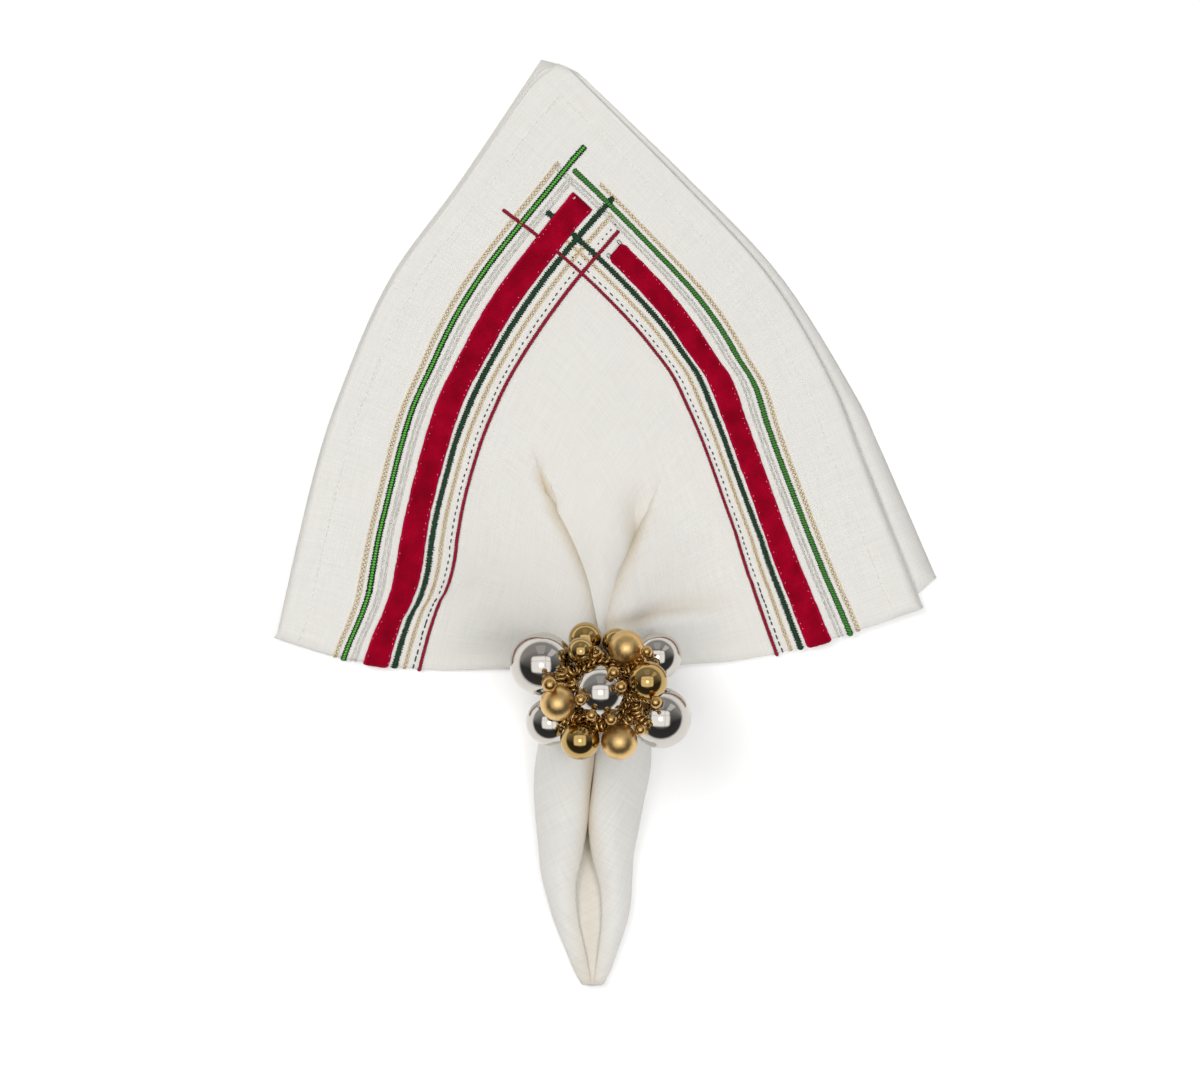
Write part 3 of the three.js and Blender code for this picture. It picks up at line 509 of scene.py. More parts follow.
class Nodes:
    """Short names for the nodes of a material or a world."""

    def __init__(self, tree):
        self.tree = tree

    def join(self, source, socket):
        """Link an output to a socket, or set the socket's own value."""
        if hasattr(source, "is_linked"):
            self.tree.links.new(source, socket)
        else:
            socket.default_value = source

    def node(self, kind, links=None, **values):
        node = self.tree.nodes.new(f"ShaderNode{kind}")
        for key, value in values.items():
            setattr(node, key, value)
        for key, source in (links or {}).items():
            self.join(source, node.inputs[key])
        return node

    def maths(self, operation, a, b=0.0):
        return self.node("Math", {0: a, 1: b}, operation=operation).outputs[0]

    plus = partialmethod(maths, "ADD")
    minus = partialmethod(maths, "SUBTRACT")
    times = partialmethod(maths, "MULTIPLY")
    over = partialmethod(maths, "DIVIDE")
    most = partialmethod(maths, "MAXIMUM")
    size = partialmethod(maths, "ABSOLUTE")
    sine = partialmethod(maths, "SINE")

    def wave(self, turn):
        """A sine wave from 0 to 1."""
        return self.plus(self.times(self.sine(turn), 0.5), 0.5)

    def spread(self, value, low, high, first=0.0, last=1.0):
        """From first to last as the value goes from low to high."""
        return self.node("MapRange", {0: value, 1: low, 2: high, 3: first, 4: last}).outputs[0]

    def parts(self, vector):
        return self.node("SeparateXYZ", {0: vector}).outputs

    def ramp(self, value, stops):
        node = self.node("ValToRGB", {0: value})
        elements = node.color_ramp.elements
        while len(elements) < len(stops):
            elements.new(0.5)
        for element, (at, color) in zip(elements, stops):
            element.position = at
            element.color = (*color, 1)
        return node.outputs[0]


class Shader(Nodes):
    """A principled material and the nodes that feed it."""

    def __init__(self, name, color, roughness, metallic=0.0, **sockets):
        self.material = bpy.data.materials.new(name)
        self.material.use_nodes = True
        super().__init__(self.material.node_tree)
        self.bsdf = self.tree.nodes["Principled BSDF"]
        sockets = {"Base_Color": (*color, 1), "Roughness": roughness, "Metallic": metallic, **sockets}
        for socket, value in sockets.items():
            self.feed(socket.replace("_", " "), value)

    def feed(self, socket, source):
        self.join(source, self.bsdf.inputs[socket])

    def uv(self):
        return self.parts(self.node("UVMap", uv_map="UVMap").outputs[0])[:2]

    def place(self):
        return self.node("TexCoord").outputs["Object"]

    def vector(self, x, y, z=0.0):
        return self.node("CombineXYZ", {0: x, 1: y, 2: z}).outputs[0]

    def noise(self, vector, scale, detail=2.0, roughness=0.5):
        links = {"Vector": vector, "Scale": scale, "Detail": detail, "Roughness": roughness}
        return self.node("TexNoise", links).outputs["Fac"]

    def mix(self, share, a, b, blend="MIX"):
        a, b = (color if hasattr(color, "is_linked") else (*color, 1) for color in (a, b))
        node = self.node("Mix", data_type="RGBA", blend_type=blend)
        for socket, source in zip((0, 6, 7), (share, a, b)):
            self.join(source, node.inputs[socket])
        return node.outputs[2]

    def bump(self, height, distance, strength=1.0):
        node = self.node("Bump", {"Height": height, "Distance": distance, "Strength": strength})
        self.feed("Normal", node.outputs[0])


WEAVE = 0.00055  # metres from thread to thread


def linen():
    m = Shader(
        "linen", (0.668, 0.653, 0.617), 0.86,
        Sheen_Weight=0.12, Sheen_Roughness=0.5, Specular_IOR_Level=0.25,
    )
    u, v = m.uv()
    warp = m.noise(m.vector(m.times(u, 1500), m.times(v, 45)), 1.0, 3.0, 0.6)
    weft = m.noise(m.vector(m.times(v, 1500), m.times(u, 45), 7.0), 1.0, 3.0, 0.6)
    slubs = m.plus(warp, weft)
    cloudy = m.noise(m.vector(u, v), 28.0, 3.0)
    over, under = (m.sine(m.times(x, math.pi / WEAVE)) for x in (u, v))
    tones = [(0.3, (0.605, 0.59, 0.556)), (0.5, (0.668, 0.653, 0.617)), (0.7, (0.716, 0.703, 0.672))]
    tone = m.ramp(m.times(slubs, 0.5), tones)
    tone = m.mix(m.times(cloudy, 0.4), tone, (0.635, 0.625, 0.60))
    # painted shade: the colour is tinted warmer and darker in the soft folds, along the crease lines and in
    # the gap between the tail's lobes, standing in for the warm light thrown about inside a fold
    fold = m.node("Attribute", attribute_name="fold").outputs["Fac"]
    m.feed("Base Color", m.mix(fold, tone, (0.78, 0.67, 0.50), "MULTIPLY"))
    m.bump(m.plus(m.times(m.times(over, under), 0.35), m.times(slubs, 0.9)), 0.00012, 0.7)
    return m.material


def velvet():
    m = Shader(
        "velvet", (0.27, 0.0, 0.012), 0.95,
        Sheen_Weight=0.55, Sheen_Roughness=0.35, Sheen_Tint=(1.0, 0.05, 0.12, 1), Specular_IOR_Level=0.1,
    )
    place = m.place()
    pile = m.noise(place, 2600.0, 2.0)
    brushed = m.noise(place, 130.0, 3.0)
    tones = [(0.3, (0.19, 0.0, 0.009)), (0.55, (0.29, 0.0, 0.014)), (0.8, (0.38, 0.001, 0.022))]
    tone = m.ramp(brushed, tones)
    tone = m.mix(m.times(pile, 0.35), tone, (0.12, 0.0, 0.006))
    # painted sheen: the colour is lighter towards the ribbon's rounded long edges
    edge = m.spread(m.size(m.uv()[0]), 0.74, 0.95)
    m.feed("Base Color", m.mix(m.times(edge, 0.7), tone, (0.50, 0.0, 0.035)))
    m.bump(pile, 0.0003, 0.8)
    return m.material


STITCH = 1.05  # millimetres from stitch to stitch along a satin line
SLANT = 0.5 * math.pi  # how far the stitches lean


def satin(name, edge, middle, middle_width):
    """Stitches side by side across a line; the line's middle may have its own colour."""
    m = Shader(name, middle, 0.5, Sheen_Weight=0.02, Specular_IOR_Level=0.25)
    across, along = m.uv()
    ribs = m.wave(m.plus(m.times(along, FULL_TURN / STITCH), m.times(across, SLANT)))
    fine = m.noise(m.vector(m.times(across, 1.5), m.times(along, 5.0)), 1.0, 2.0)
    wide = m.plus(middle_width - 0.12, m.times(ribs, 0.24))
    inner = m.spread(m.minus(wide, m.size(across)), -0.08, 0.08)
    tone = m.mix(inner, edge, middle)
    # painted shade: the colour darkens between the stitches, where their grooves lie
    dark = m.mix(0.8, tone, (0.0, 0.0, 0.0))
    shade = m.times(m.minus(1.0, ribs), m.plus(m.times(fine, 0.8), 0.35))
    m.feed("Base Color", m.mix(shade, tone, dark))
    m.bump(m.plus(ribs, m.times(fine, 0.6)), 0.00018, 0.8)
    return m.material


def metallic_thread(name, color, dark):
    """Foil wound round a core: painted glints lighten it between its darker turns."""
    m = Shader(name, color, 0.38, 0.2, Specular_IOR_Level=0.6)
    around, along = m.uv()
    wound = m.wave(m.plus(m.times(along, 7.0), m.times(around, FULL_TURN)))
    painted_glint_patches = m.spread(m.noise(m.place(), 1100.0, 1.0), 0.3, 0.6)
    # painted glints: in patches, the colour is lighter between the darker turns
    m.feed("Base Color", m.mix(m.times(wound, painted_glint_patches), color, dark))
    m.bump(wound, 0.0001, 0.6)
    return m.material


def plain_thread(name, color):
    m = Shader(name, color, 0.6, Sheen_Weight=0.2)
    around, along = m.uv()
    ply = m.wave(m.plus(m.times(along, 12.0), m.times(around, FULL_TURN)))
    # painted shade: the colour darkens along the grooves between the twisted plies
    m.feed("Base Color", m.mix(m.times(ply, 0.4), color, tuple(c * 0.55 for c in color)))
    m.bump(ply, 0.00008, 0.6)
    return m.material


def metal(name, color, roughness, dark, grain, wobble):
    """Polished or satin plating, a little uneven."""
    m = Shader(name, color, roughness, 1.0)
    place = m.place()
    cloud = m.noise(place, 160.0, 3.0)
    fine = m.noise(place, grain, 3.0, 0.6)
    m.feed("Base Color", m.mix(m.times(cloud, 0.35), color, dark))
    m.feed("Roughness", m.spread(fine, 0.0, 1.0, roughness * 0.7, roughness * 1.4))
    m.bump(m.plus(fine, m.times(m.noise(place, 75.0, 1.0), 3.0)), wobble)
    return m.material


LINEN_MATERIAL = linen()
VELVET_MATERIAL = velvet()
SILVER = metal("silver_plate", (0.585, 0.555, 0.51), 0.035, (0.49, 0.455, 0.41), 900.0, 0.000012)
GOLD = metal("gold_plate", (0.50, 0.345, 0.135), 0.05, (0.36, 0.235, 0.075), 900.0, 0.000012)
MATTE_GOLD = metal("gold_satin", (0.74, 0.50, 0.21), 0.30, (0.62, 0.39, 0.14), 3500.0, 0.00006)
BRONZE = metal("bronze_plate", (0.62, 0.38, 0.14), 0.24, (0.42, 0.25, 0.08), 1500.0, 0.00002)
WIRE = metal("gold_wire", (0.62, 0.40, 0.15), 0.14, (0.22, 0.12, 0.035), 1200.0, 0.00004)


# The napkin


def spaced(*stops):
    """Even steps between stops, given in turn as: where, how many points from here, where, ..."""
    pieces = [np.linspace(a, b, n)[:-1] for a, n, b in zip(stops[:-2:2], stops[1::2], stops[2::2])]
    return np.concatenate([*pieces, stops[-1:]])


ROWS = spaced(FIRST_S, 38, 130, 34, CORNER_S, 100, LAST_S)
CORNER_ROW = int(np.searchsorted(ROWS, CORNER_S))
HALF_COLUMNS = spaced(0, 10, 0.17, 45, 0.33, 28, 1)  # finest round the creases
FRONT_COLUMNS = np.concatenate([-HALF_COLUMNS[::-1], HALF_COLUMNS[1:]])
OTHER_COLUMNS = np.linspace(-1, 1, 33)
FACING_UP = [False, True, False, True]
# Folded edges: the layers that each joins, and which of their columns
BENDS = [(3, 0, 0), (1, 2, 0), (3, 2, -1), (1, 0, -1)]
BEND_STEPS, BEND_BULGE = 5, 0.6
FULL_SHADE = 7.0  # depth of a soft fold at which the painted shade is fullest
GAP = {"y": (-120, -56), "x": (-7.2, -4.6)}  # the line between the tail's lobes, along which shade is painted
GAP_WIDTH = {"y": (-142, -118), "width": (5.5, 2.4)}
GAP_SHADE = {"y": (-140, -118, -56, -52), "shade": (0.4, 0.8, 0.8, 0)}


class Cloth(Batch):
    """The napkin's mesh, whose points also carry the cloth's thickness and how much painted shade warms and
    darkens its colour.
    """

    def __init__(self):
        super().__init__()
        self.thick, self.folds = [], []

    # fold is the share of painted shade in the linen's colour at the new points
    def grow(self, points, uvs, thick=LINEN, fold=0.0):
        """Adds points that have no faces yet, and returns their numbers."""
        numbers = np.arange(points[..., 0].size).reshape(points.shape[:-1]) + self.count
        self.add(points, np.empty((0, 4), int), uvs)
        self.thick.append(np.broadcast_to(thick / HEM_THICK, numbers.shape).ravel())
        self.folds.append(np.broadcast_to(fold, numbers.shape).ravel())
        return numbers


def painted_shade_share(s, f, x, y):
    """How much painted shade warms and darkens the cloth's colour: in the soft folds, along the crease lines
    and in the gap between the tail's lobes.
    """
    depth = folded(x, y) * (s < MOUTH_S)
    # painted shade along the gap between the tail's lobes, where the layers lie in shadow
    gap = (x - np.interp(y, GAP["y"], GAP["x"])) / np.interp(y, GAP_WIDTH["y"], GAP_WIDTH["width"])
    strip = np.interp(y, GAP_SHADE["y"], GAP_SHADE["shade"]) * np.exp(-(gap**2))
    return np.clip(depth / FULL_SHADE + creased(s, f)[2] + strip, 0, 1)


def in_hem(across, depth):
    return 1 - smooth((across - depth) / HEM_STEP + 0.5)


def half_round(a, b, inner):
    """Middle, half, radius and outward way of half rounds from a to b; inner lies inwards of a."""
    half, out = (a - b) / 2, a - inner
    radius = np.linalg.norm(half, axis=-1, keepdims=True)
    out = out - unit(half) * np.sum(out * unit(half), axis=-1, keepdims=True)
    return (a + b) / 2, half, radius, unit(out)


def bend(mesh, a, b, end):
    """A folded edge, as a half round from layer a to layer b; each is its points, uvs and numbers."""
    rows = slice(CORNER_ROW, None)
    inner = 1 if end == 0 else -2
    middle, half, radius, out = half_round(a[0][rows, end], b[0][rows, end], a[0][rows, inner])
    columns = [a[2][rows, end]]
    for k in range(1, BEND_STEPS):
        turn = math.pi * k / BEND_STEPS
        p = middle + half * math.cos(turn) + out * radius * BEND_BULGE * math.sin(turn)
        p[:, 2] = np.maximum(p[:, 2], LINEN / 2)
        columns.append(mesh.grow(p, a[1][rows, end]))
    columns.append(b[2][rows, end])
    for left, right in zip(columns[:-1], columns[1:]):
        quads = np.stack([left[:-1], left[1:], right[1:], right[:-1]], axis=1)
        mesh.faces.extend((quads[:, ::-1] if end == 0 else quads).tolist())


def close_tip(mesh, upper, lower, out, flip):
    """The napkin's folded centre, at the end of the tail, between two layers."""
    many, few = upper[2][-1], lower[2][-1]
    every = (len(many) - 1) // (len(few) - 1)
    tip = (upper[0][-1][::every] + lower[0][-1]) / 2 + np.array([0, -out, 0])
    edge = mesh.grow(tip, lower[1][-1])
    for j in range(len(tip) - 1):
        chain = many[j * every : (j + 1) * every + 1]
        for face in ([edge[j], edge[j + 1], *chain[::-1]], [few[j], few[j + 1], edge[j + 1], edge[j]]):
            mesh.faces.append([int(k) for k in (face[::-1] if flip else face)])


def napkin():
    mesh, layers = Cloth(), []
    for layer in range(LEAVES):
        s, f = np.meshgrid(ROWS, FRONT_COLUMNS if layer == FRONT else OTHER_COLUMNS, indexing="ij")
        p = layer_points(layer, s, f)
        w = half_width(s)
        u, v = (s + f * w) / math.sqrt(2), (s - f * w) / math.sqrt(2)
        hem = np.maximum(in_hem(u, HEM_LEFT), in_hem(v, HEM_RIGHT))
        uvs = np.stack([u, v], axis=-1) * MM
        # painted shade in the linen's colour at each point of the layer
        fold = painted_shade_share(*(a.ravel() for a in (s, f, p[..., 0], p[..., 1]))).reshape(s.shape)
        numbers = mesh.grow(p, uvs, mix(LINEN, HEM_THICK, hem), fold)
        mesh.faces.extend((grid_faces(*s.shape, flip=not FACING_UP[layer]) + numbers[0, 0]).tolist())
        layers.append((p, uvs, numbers))
    for a, b, end in BENDS:
        bend(mesh, layers[a], layers[b], end)
    close_tip(mesh, layers[3], layers[0], 0.8, False)
    close_tip(mesh, layers[2], layers[1], 0.3, True)

    obj = mesh.build("napkin_cloth", LINEN_MATERIAL, "linen")
    # the painted shade goes to the linen material as the fold attribute
    fold = obj.data.attributes.new("fold", "FLOAT", "POINT")
    fold.data.foreach_set("value", np.concatenate(mesh.folds).astype(np.float32))
    group = obj.vertex_groups.new(name="thick")
    weights = np.round(np.concatenate(mesh.thick), 2)
    for weight in np.unique(weights):
        group.add(np.flatnonzero(weights == weight).tolist(), float(weight), "REPLACE")
    solid = obj.modifiers.new("thickness", "SOLIDIFY")
    solid.thickness = HEM_THICK * MM
    solid.offset = 0
    solid.vertex_group = "thick"
    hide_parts("napkin")
    return obj


cloth = napkin()


# What is sewn on it


def on_napkin(turn, across, along, lift):
    """Points at a lift above the front quarter, running on round the folded edge below it."""
    across, along, lift = np.broadcast_arrays(*(np.asarray(x, float) for x in (across, along, lift)))
    inside = np.clip(along, 0, QUARTER)
    pair = (across, inside) if turn > 0 else (inside, across)
    top = front_at(*pair, lift)
    past = along - QUARTER
    over = past > 0
    if over.any():
        edge = (across + QUARTER) / math.sqrt(2)
        low = layer_points(0 if turn > 0 else 2, edge, np.full(edge.shape, -float(turn)), -LINEN / 2 - lift)
        before = (across, inside - 2) if turn > 0 else (inside - 2, across)
        middle, half, radius, out = half_round(top, low, front_at(*before, lift))
        above = LINEN / 2 + lift[..., None]
        reach = BEND_BULGE * (radius - above) + above
        angle = np.minimum(past[..., None] / radius, 2.0)
        bent = middle + half * np.cos(angle) + out * reach * np.sin(angle)
        top = np.where(over[..., None], bent, top)
    return top


# How far raised lines, threads and ribbons run on round the folded edge
RAISED_END, THREAD_END, RIBBON_END = QUARTER + 5.0, QUARTER + 3.0, QUARTER + 4.5
RAISED_STEP, RIBS, JAG = 0.2, 0.35, 0.16


def wander(along, seed, size=0.12):
    """A hand-guided line is never quite straight."""
    return size * (np.sin(along / 17.0 + seed) + 0.6 * np.sin(along / 7.3 + 2.3 * seed))


def sewn_bar(batch, turn, along, across, tops, unders):
    """A bar along the cloth; tops and unders are distances from the hem with their lifts."""
    rows = np.concatenate([on_napkin(turn, at, along[:, None], lift) for at, lift in (tops, unders)], axis=1)
    batch.add_bar(rows, grid_uvs(across, along), flip=turn > 0)


def raised(batch, turn, offset, start, seed, width, height, jag=JAG):
    """A raised line of stitches with a rounded section and a jagged edge."""
    along = np.linspace(start, RAISED_END, int((RAISED_END - start) / RAISED_STEP))
    across = np.linspace(-1, 1, 5)
    arch = np.sqrt(np.maximum(0, 1 - across**2))
    phase = FULL_TURN * along[:, None] / STITCH
    swell = 1 + RIBS * np.sin(phase + 0.5 * math.pi * across[None, :])
    ends = np.minimum(1, np.minimum(along - start, RAISED_END - along) / (0.35 * width) + 0.25)[:, None]
    middle = offset + wander(along, seed)[:, None]
    left, right = rng.standard_normal((len(along), 2)).T
    frayed = 1 + jag * np.sin(phase) + 0.6 * jag * np.stack([left, left, left, right, right], axis=1)
    side = across[None, :] * width / 2 * frayed * (0.5 + 0.5 * ends)
    tops = middle + side, 0.1 + height * arch[None, :] * swell * ends
    unders = middle + side[:, [-1, 0]] * 0.9, 0.02
    sewn_bar(batch, turn, along, np.concatenate([across, [0.9, -0.9]]), tops, unders)


def zigzag(batch, turn, offset, start, seed, width, lift, pitch, radius):
    along = np.arange(start, THREAD_END, pitch / 4)
    beat = np.array([-1, 0, 1, 0.0])
    swing = beat[np.arange(len(along)) % 4] * width / 2
    swing = swing * (1 + 0.2 * rng.standard_normal(len(along)))
    tube(batch, on_napkin(turn, offset + wander(along, seed) + swing, along, lift), radius, 4)


def cord_line(batch, turn, offset, start, seed, lift, radius, jitter=0.05):
    along = np.arange(start, THREAD_END, 0.9)
    across = offset + wander(along, seed) + jitter * rng.standard_normal(len(along))
    tube(batch, on_napkin(turn, across, along, lift), radius, 5)


def dashes(batch, turn, offset, start, end, length, pitch, lift, radius, seed=0.0, jitter=0.1):
    at = start
    while at + length < end:
        long = length * (1 + 0.15 * rng.standard_normal())
        along = np.linspace(at, at + long, 5)
        across = offset + wander(along, seed) + jitter * rng.standard_normal()
        dip = np.array([-0.12, 0.02, 0.06, 0.02, -0.12])
        tube(batch, on_napkin(turn, across, along, lift + dip), radius, 5)
        at += pitch * (1 + 0.06 * rng.standard_normal())


BRIGHT, BRIGHT_EDGE = (0.10, 0.46, 0.05), (0.004, 0.016, 0.007)
FOREST, FOREST_EDGE = (0.013, 0.052, 0.022), (0.003, 0.014, 0.006)
WINE, WINE_EDGE = (0.36, 0.003, 0.03), (0.16, 0.001, 0.012)
BRIGHT_GREEN = {
    "left": satin("thread_bright_green", BRIGHT_EDGE, BRIGHT, 0.36),
    "right": satin("thread_green", (0.012, 0.06, 0.014), (0.055, 0.25, 0.035), 0.62),
}
DARK_GREEN = satin("thread_dark_green", FOREST_EDGE, FOREST, 0.8)
BURGUNDY = satin("thread_burgundy", WINE_EDGE, WINE, 0.8)
GOLD_THREAD = metallic_thread("thread_gold", (0.86, 0.74, 0.50), (0.52, 0.36, 0.15))
OCHRE = metallic_thread("thread_ochre", (0.55, 0.38, 0.16), (0.30, 0.19, 0.06))
SILVER_THREAD = metallic_thread("thread_silver", (0.86, 0.85, 0.81), (0.42, 0.40, 0.36))
INK = plain_thread("thread_dark", (0.012, 0.028, 0.018))
ROSE = plain_thread("thread_rose", (0.80, 0.50, 0.50))
CREAM = plain_thread("thread_cream", (0.86, 0.84, 0.79))

# The sides: which way each turns, how far its own hem and the other lie inside the outer edges,
# and a seed for its lines
SIDES = {"left": (1, 2.9, 1.5, 1.0), "right": (-1, 1.5, 2.9, 4.0)}
LINES = {
    # how far in each line lies, and where it begins on the left and on the right, from the outer edges
    "gold_outer": (28, {"left": 33.5, "right": 45}),
    "bright": (31.5, {"left": 20.5, "right": 34}),
    "silver": (35.5, {"left": 35, "right": 27}),
    "dark_green": (52, {"left": 28, "right": 36}),
    "gold_inner": (56, {"left": 34, "right": 45}),
    "running": (59.5, {"left": 36, "right": 55}),
    "burgundy": (62, {"left": 37, "right": 22}),
}
# Heights of the raised lines, which stand up more on the right
HEIGHTS = {
    "bright": {"left": 0.75, "right": 0.95},
    "dark_green": {"left": 0.6, "right": 0.68},
    "burgundy": {"left": 0.8, "right": 0.9},
}
DOTS = {"left": 26, "right": 6}  # how far the running stitch is only dots
LONG_FROM = QUARTER - 34  # where its stitches grow long


def line_of(side, name, shift=0.0):
    """Which way a line turns, its distance from its own hem, where it starts, and its seed."""
    turn, own, other, seed = SIDES[side]
    offset, starts = LINES[name]
    return turn, offset - own + shift, starts[side] - other, seed


def embroidery():
    gold, ochre, silver, ink, wine, dark = (Batch() for _ in range(6))
    made = []
    for side in SIDES:
        for name, width in (("gold_outer", 1.5), ("gold_inner", 1.3)):
            for edge in (-0.5, 0.5):
                cord_line(gold, *line_of(side, name, edge * width), 0.15, 0.21)
            zigzag(ochre, *line_of(side, name), width * 0.8, 0.2, 1.7, 0.17)
        for band in (-0.78, 0.78):
            for edge in (-0.42, 0.42):
                cord_line(silver, *line_of(side, "silver", band + edge), 0.12, 0.13, jitter=0.08)
            zigzag(silver, *line_of(side, "silver", band), 0.95, 0.22, 1.15, 0.14)
        bright = Batch()
        raised(bright, *line_of(side, "bright"), 2.35, HEIGHTS["bright"][side])
        made.append(bright.build(f"green_line_{side}", BRIGHT_GREEN[side], "linen"))
        raised(dark, *line_of(side, "dark_green"), 2.3, HEIGHTS["dark_green"][side], jag=0.24)
        raised(wine, *line_of(side, "burgundy"), 1.5, HEIGHTS["burgundy"][side])
        turn, offset, start, seed = line_of(side, "running")
        dots_end = start + DOTS[side]
        for begin, end, length, pitch, lift, radius in (
            (start, dots_end, 0.4, 3.0, 0.22, 0.27),
            (dots_end + 1.8, LONG_FROM, 1.0, 2.9, 0.2, 0.25),
            (LONG_FROM + 1.8, QUARTER + 2, 1.6, 2.9, 0.2, 0.3),
        ):
            dashes(ink, turn, offset, begin, end, length, pitch, lift, radius, seed)
    hem = Batch()
    for turn, own, other in ((1, HEM_LEFT, HEM_RIGHT), (-1, HEM_RIGHT, HEM_LEFT)):
        dashes(hem, turn, own - 1.2, other, QUARTER, 1.5, 2.7, 0.3, 0.19, jitter=0.05)
    for batch, name, material in (
        (gold, "gold_threads", GOLD_THREAD), (ochre, "gold_thread_rungs", OCHRE),
        (silver, "silver_threads", SILVER_THREAD), (dark, "dark_green_lines", DARK_GREEN),
        (wine, "burgundy_lines", BURGUNDY), (ink, "running_stitches", INK), (hem, "hem_stitches", CREAM),
    ):
        made.append(batch.build(name, material, "linen"))
    return made


threads = embroidery()

VELVET = 0.85
RIBBONS = {"left": (1, 36.6, 46.6, 37.0), "right": (-1, 38.0, 48.0, 63.0)}
# How long the rounding of each one's top end is, and how much it narrows
RIBBON_TOPS = {"left": (0.6, 0.03), "right": (2.2, 0.35)}


def ribbon(side):
    turn, low, high, start = RIBBONS[side]
    rounding, narrowing = RIBBON_TOPS[side]
    along = np.linspace(start, RIBBON_END, int((RIBBON_END - start) / 1.1))
    across = np.linspace(-1, 1, 15)
    shape = np.sqrt(np.maximum(0, 1 - np.abs(across) ** 7))
    fray = 0.12 * np.sin(along / 1.9) + 0.1 * rng.standard_normal(len(along))
    ends = np.minimum(1, (along - start) / rounding + 0.2)
    middle = ((low + high) / 2 + wander(along, 2.0, 0.15))[:, None]
    half = ((high - low) / 2 * (1 - (1 - ends) * narrowing) + fray * 0.5)[:, None]
    pile = 0.05 * rng.standard_normal((len(along), len(across)))
    lift = 0.42 + (VELVET * shape[None, :] + pile) * np.sqrt(ends)[:, None]
    under = np.array([0.9, 0.3, -0.3, -0.9])
    tops, unders = (middle + across * half, lift), (middle + under * half, 0.3)
    batch = Batch()
    sewn_bar(batch, turn, along, np.concatenate([across, under]), tops, unders)
    obj = batch.build(f"velvet_{side}", VELVET_MATERIAL, "velvet")
    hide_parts(f"ribbon_{side}")
    return obj


ribbons = [ribbon("left"), ribbon("right")]


def ribbon_stitches():
    """The hand stitches that hold the ribbons, sunk in the pile but for a speck here and there."""
    batch = Batch()
    for turn, low, high, start in RIBBONS.values():
        for across in (low + 1.0, high - 1.0):
            at = start + 2.0
            while at < QUARTER:
                if rng.random() < 0.6:
                    dashes(batch, turn, across, at, at + 0.6, 0.3, 3.0, 1.16, 0.12, jitter=0.2)
                at += 2.8 + 0.5 * rng.standard_normal()
    turn, low, _, start = RIBBONS["left"]
    dashes(batch, turn, low + 1.8, start + 1.2, start + 3.4, 1.4, 9.0, 1.25, 0.28, jitter=0.0)
    return batch.build("ribbon_stitches", ROSE, "linen")


def loose_loops():
    """Two loops of dark thread left standing at the top corners of the right ribbon."""
    batch = Batch()
    turn, low, high, start = RIBBONS["right"]
    t = np.linspace(0, FULL_TURN, 15)
    rise = (1 - np.cos(t)) / 2
    for across, wide, long in ((high - 1.2, 0.8, 1.9), (low + 1.2, 0.7, 2.4)):
        path = on_napkin(turn, across + wide * np.sin(t), start + 0.6 - long * rise, 0.5 + 0.5 * rise)
        tube(batch, path, 0.14, 5)
    return batch.build("thread_loops", INK, "linen")


stitches = [ribbon_stitches(), loose_loops()]


# The ring and its balls

CLUSTER = {
    # finish, dx and dy from the ring's middle, z, radius
    "ball_silver_centre": (SILVER, 0.3, -0.2, 57.2, 10.7),
    "ball_silver_upper_left": (SILVER, -23, 10.5, 46.5, 12.6),
    "ball_silver_upper_right": (SILVER, 22.8, 13.3, 37.5, 9.4),
    "ball_silver_lower_left": (SILVER, -19.9, -12.5, 43, 9.4),
    "ball_silver_lower_right": (SILVER, 24, -10.8, 44.5, 12),
    "ball_gold_top": (GOLD, -5.8, 20.3, 41.2, 6.6),
    "ball_gold_top_front": (GOLD, -7.5, 15.8, 55, 5.3),
    "ball_gold_top_right": (GOLD, 6.5, 18.9, 44, 5.6),
    "ball_gold_right": (GOLD, 18.6, 4, 60.5, 7.9),
    "ball_gold_bottom": (GOLD, -7.8, -19.2, 54.2, 7.9),
    "ball_matte_top": (MATTE_GOLD, 10.3, 17, 56.5, 7),
    "ball_matte_left": (MATTE_GOLD, -16.5, -4.6, 62.6, 7),
    "ball_matte_bottom": (MATTE_GOLD, 7.6, -19.8, 56.6, 7.2),
}
BEADS = {
    "bead_1": (BRONZE, -19.6, 2.9, 69.4, 3.1),
    "bead_2": (BRONZE, -7.5, -3, 68, 2.4),
    "bead_3": (BRONZE, -3.3, -9.1, 66.8, 2.3),
    "bead_4": (BRONZE, 4.3, -10.8, 65, 2.5),
    "bead_5": (BRONZE, 15.8, -15, 59.5, 2.3),
    "bead_6": (BRONZE, 5.3, 7.5, 66.8, 2.5),
    "bead_7": (BRONZE, 8.2, 2.1, 68.3, 2.5),
    "bead_8": (BRONZE, 21.7, -4.1, 67.3, 2.5),
    "bead_9": (SILVER, 0.6, 13.6, 46.5, 2.2),
    "bead_10": (BRONZE, 18.3, 15.6, 62, 2.3),
}
# How finely each kind is turned, around and down, and its collar's share of the radius
BALL_DETAIL, BEAD_DETAIL = (56, 36, 0.3), (28, 18, 0.35)
LIP = 0.04  # a collar's thickness, as a share of the radius
CROWN = RING["z"] + RING["outer"] + 1.4
FOOT_REACH, FOOT_DEPTH = 5.5, 2.7  # how far from the ring's middle a stem may stand, in all and along y


def sideways(way, helper):
    """Two directions at right angles to a way."""
    side = unit(np.cross(way, helper))
    return side, np.cross(way, side)


def circle(turn, side, up):
    return np.cos(turn)[:, None] * side + np.sin(turn)[:, None] * up


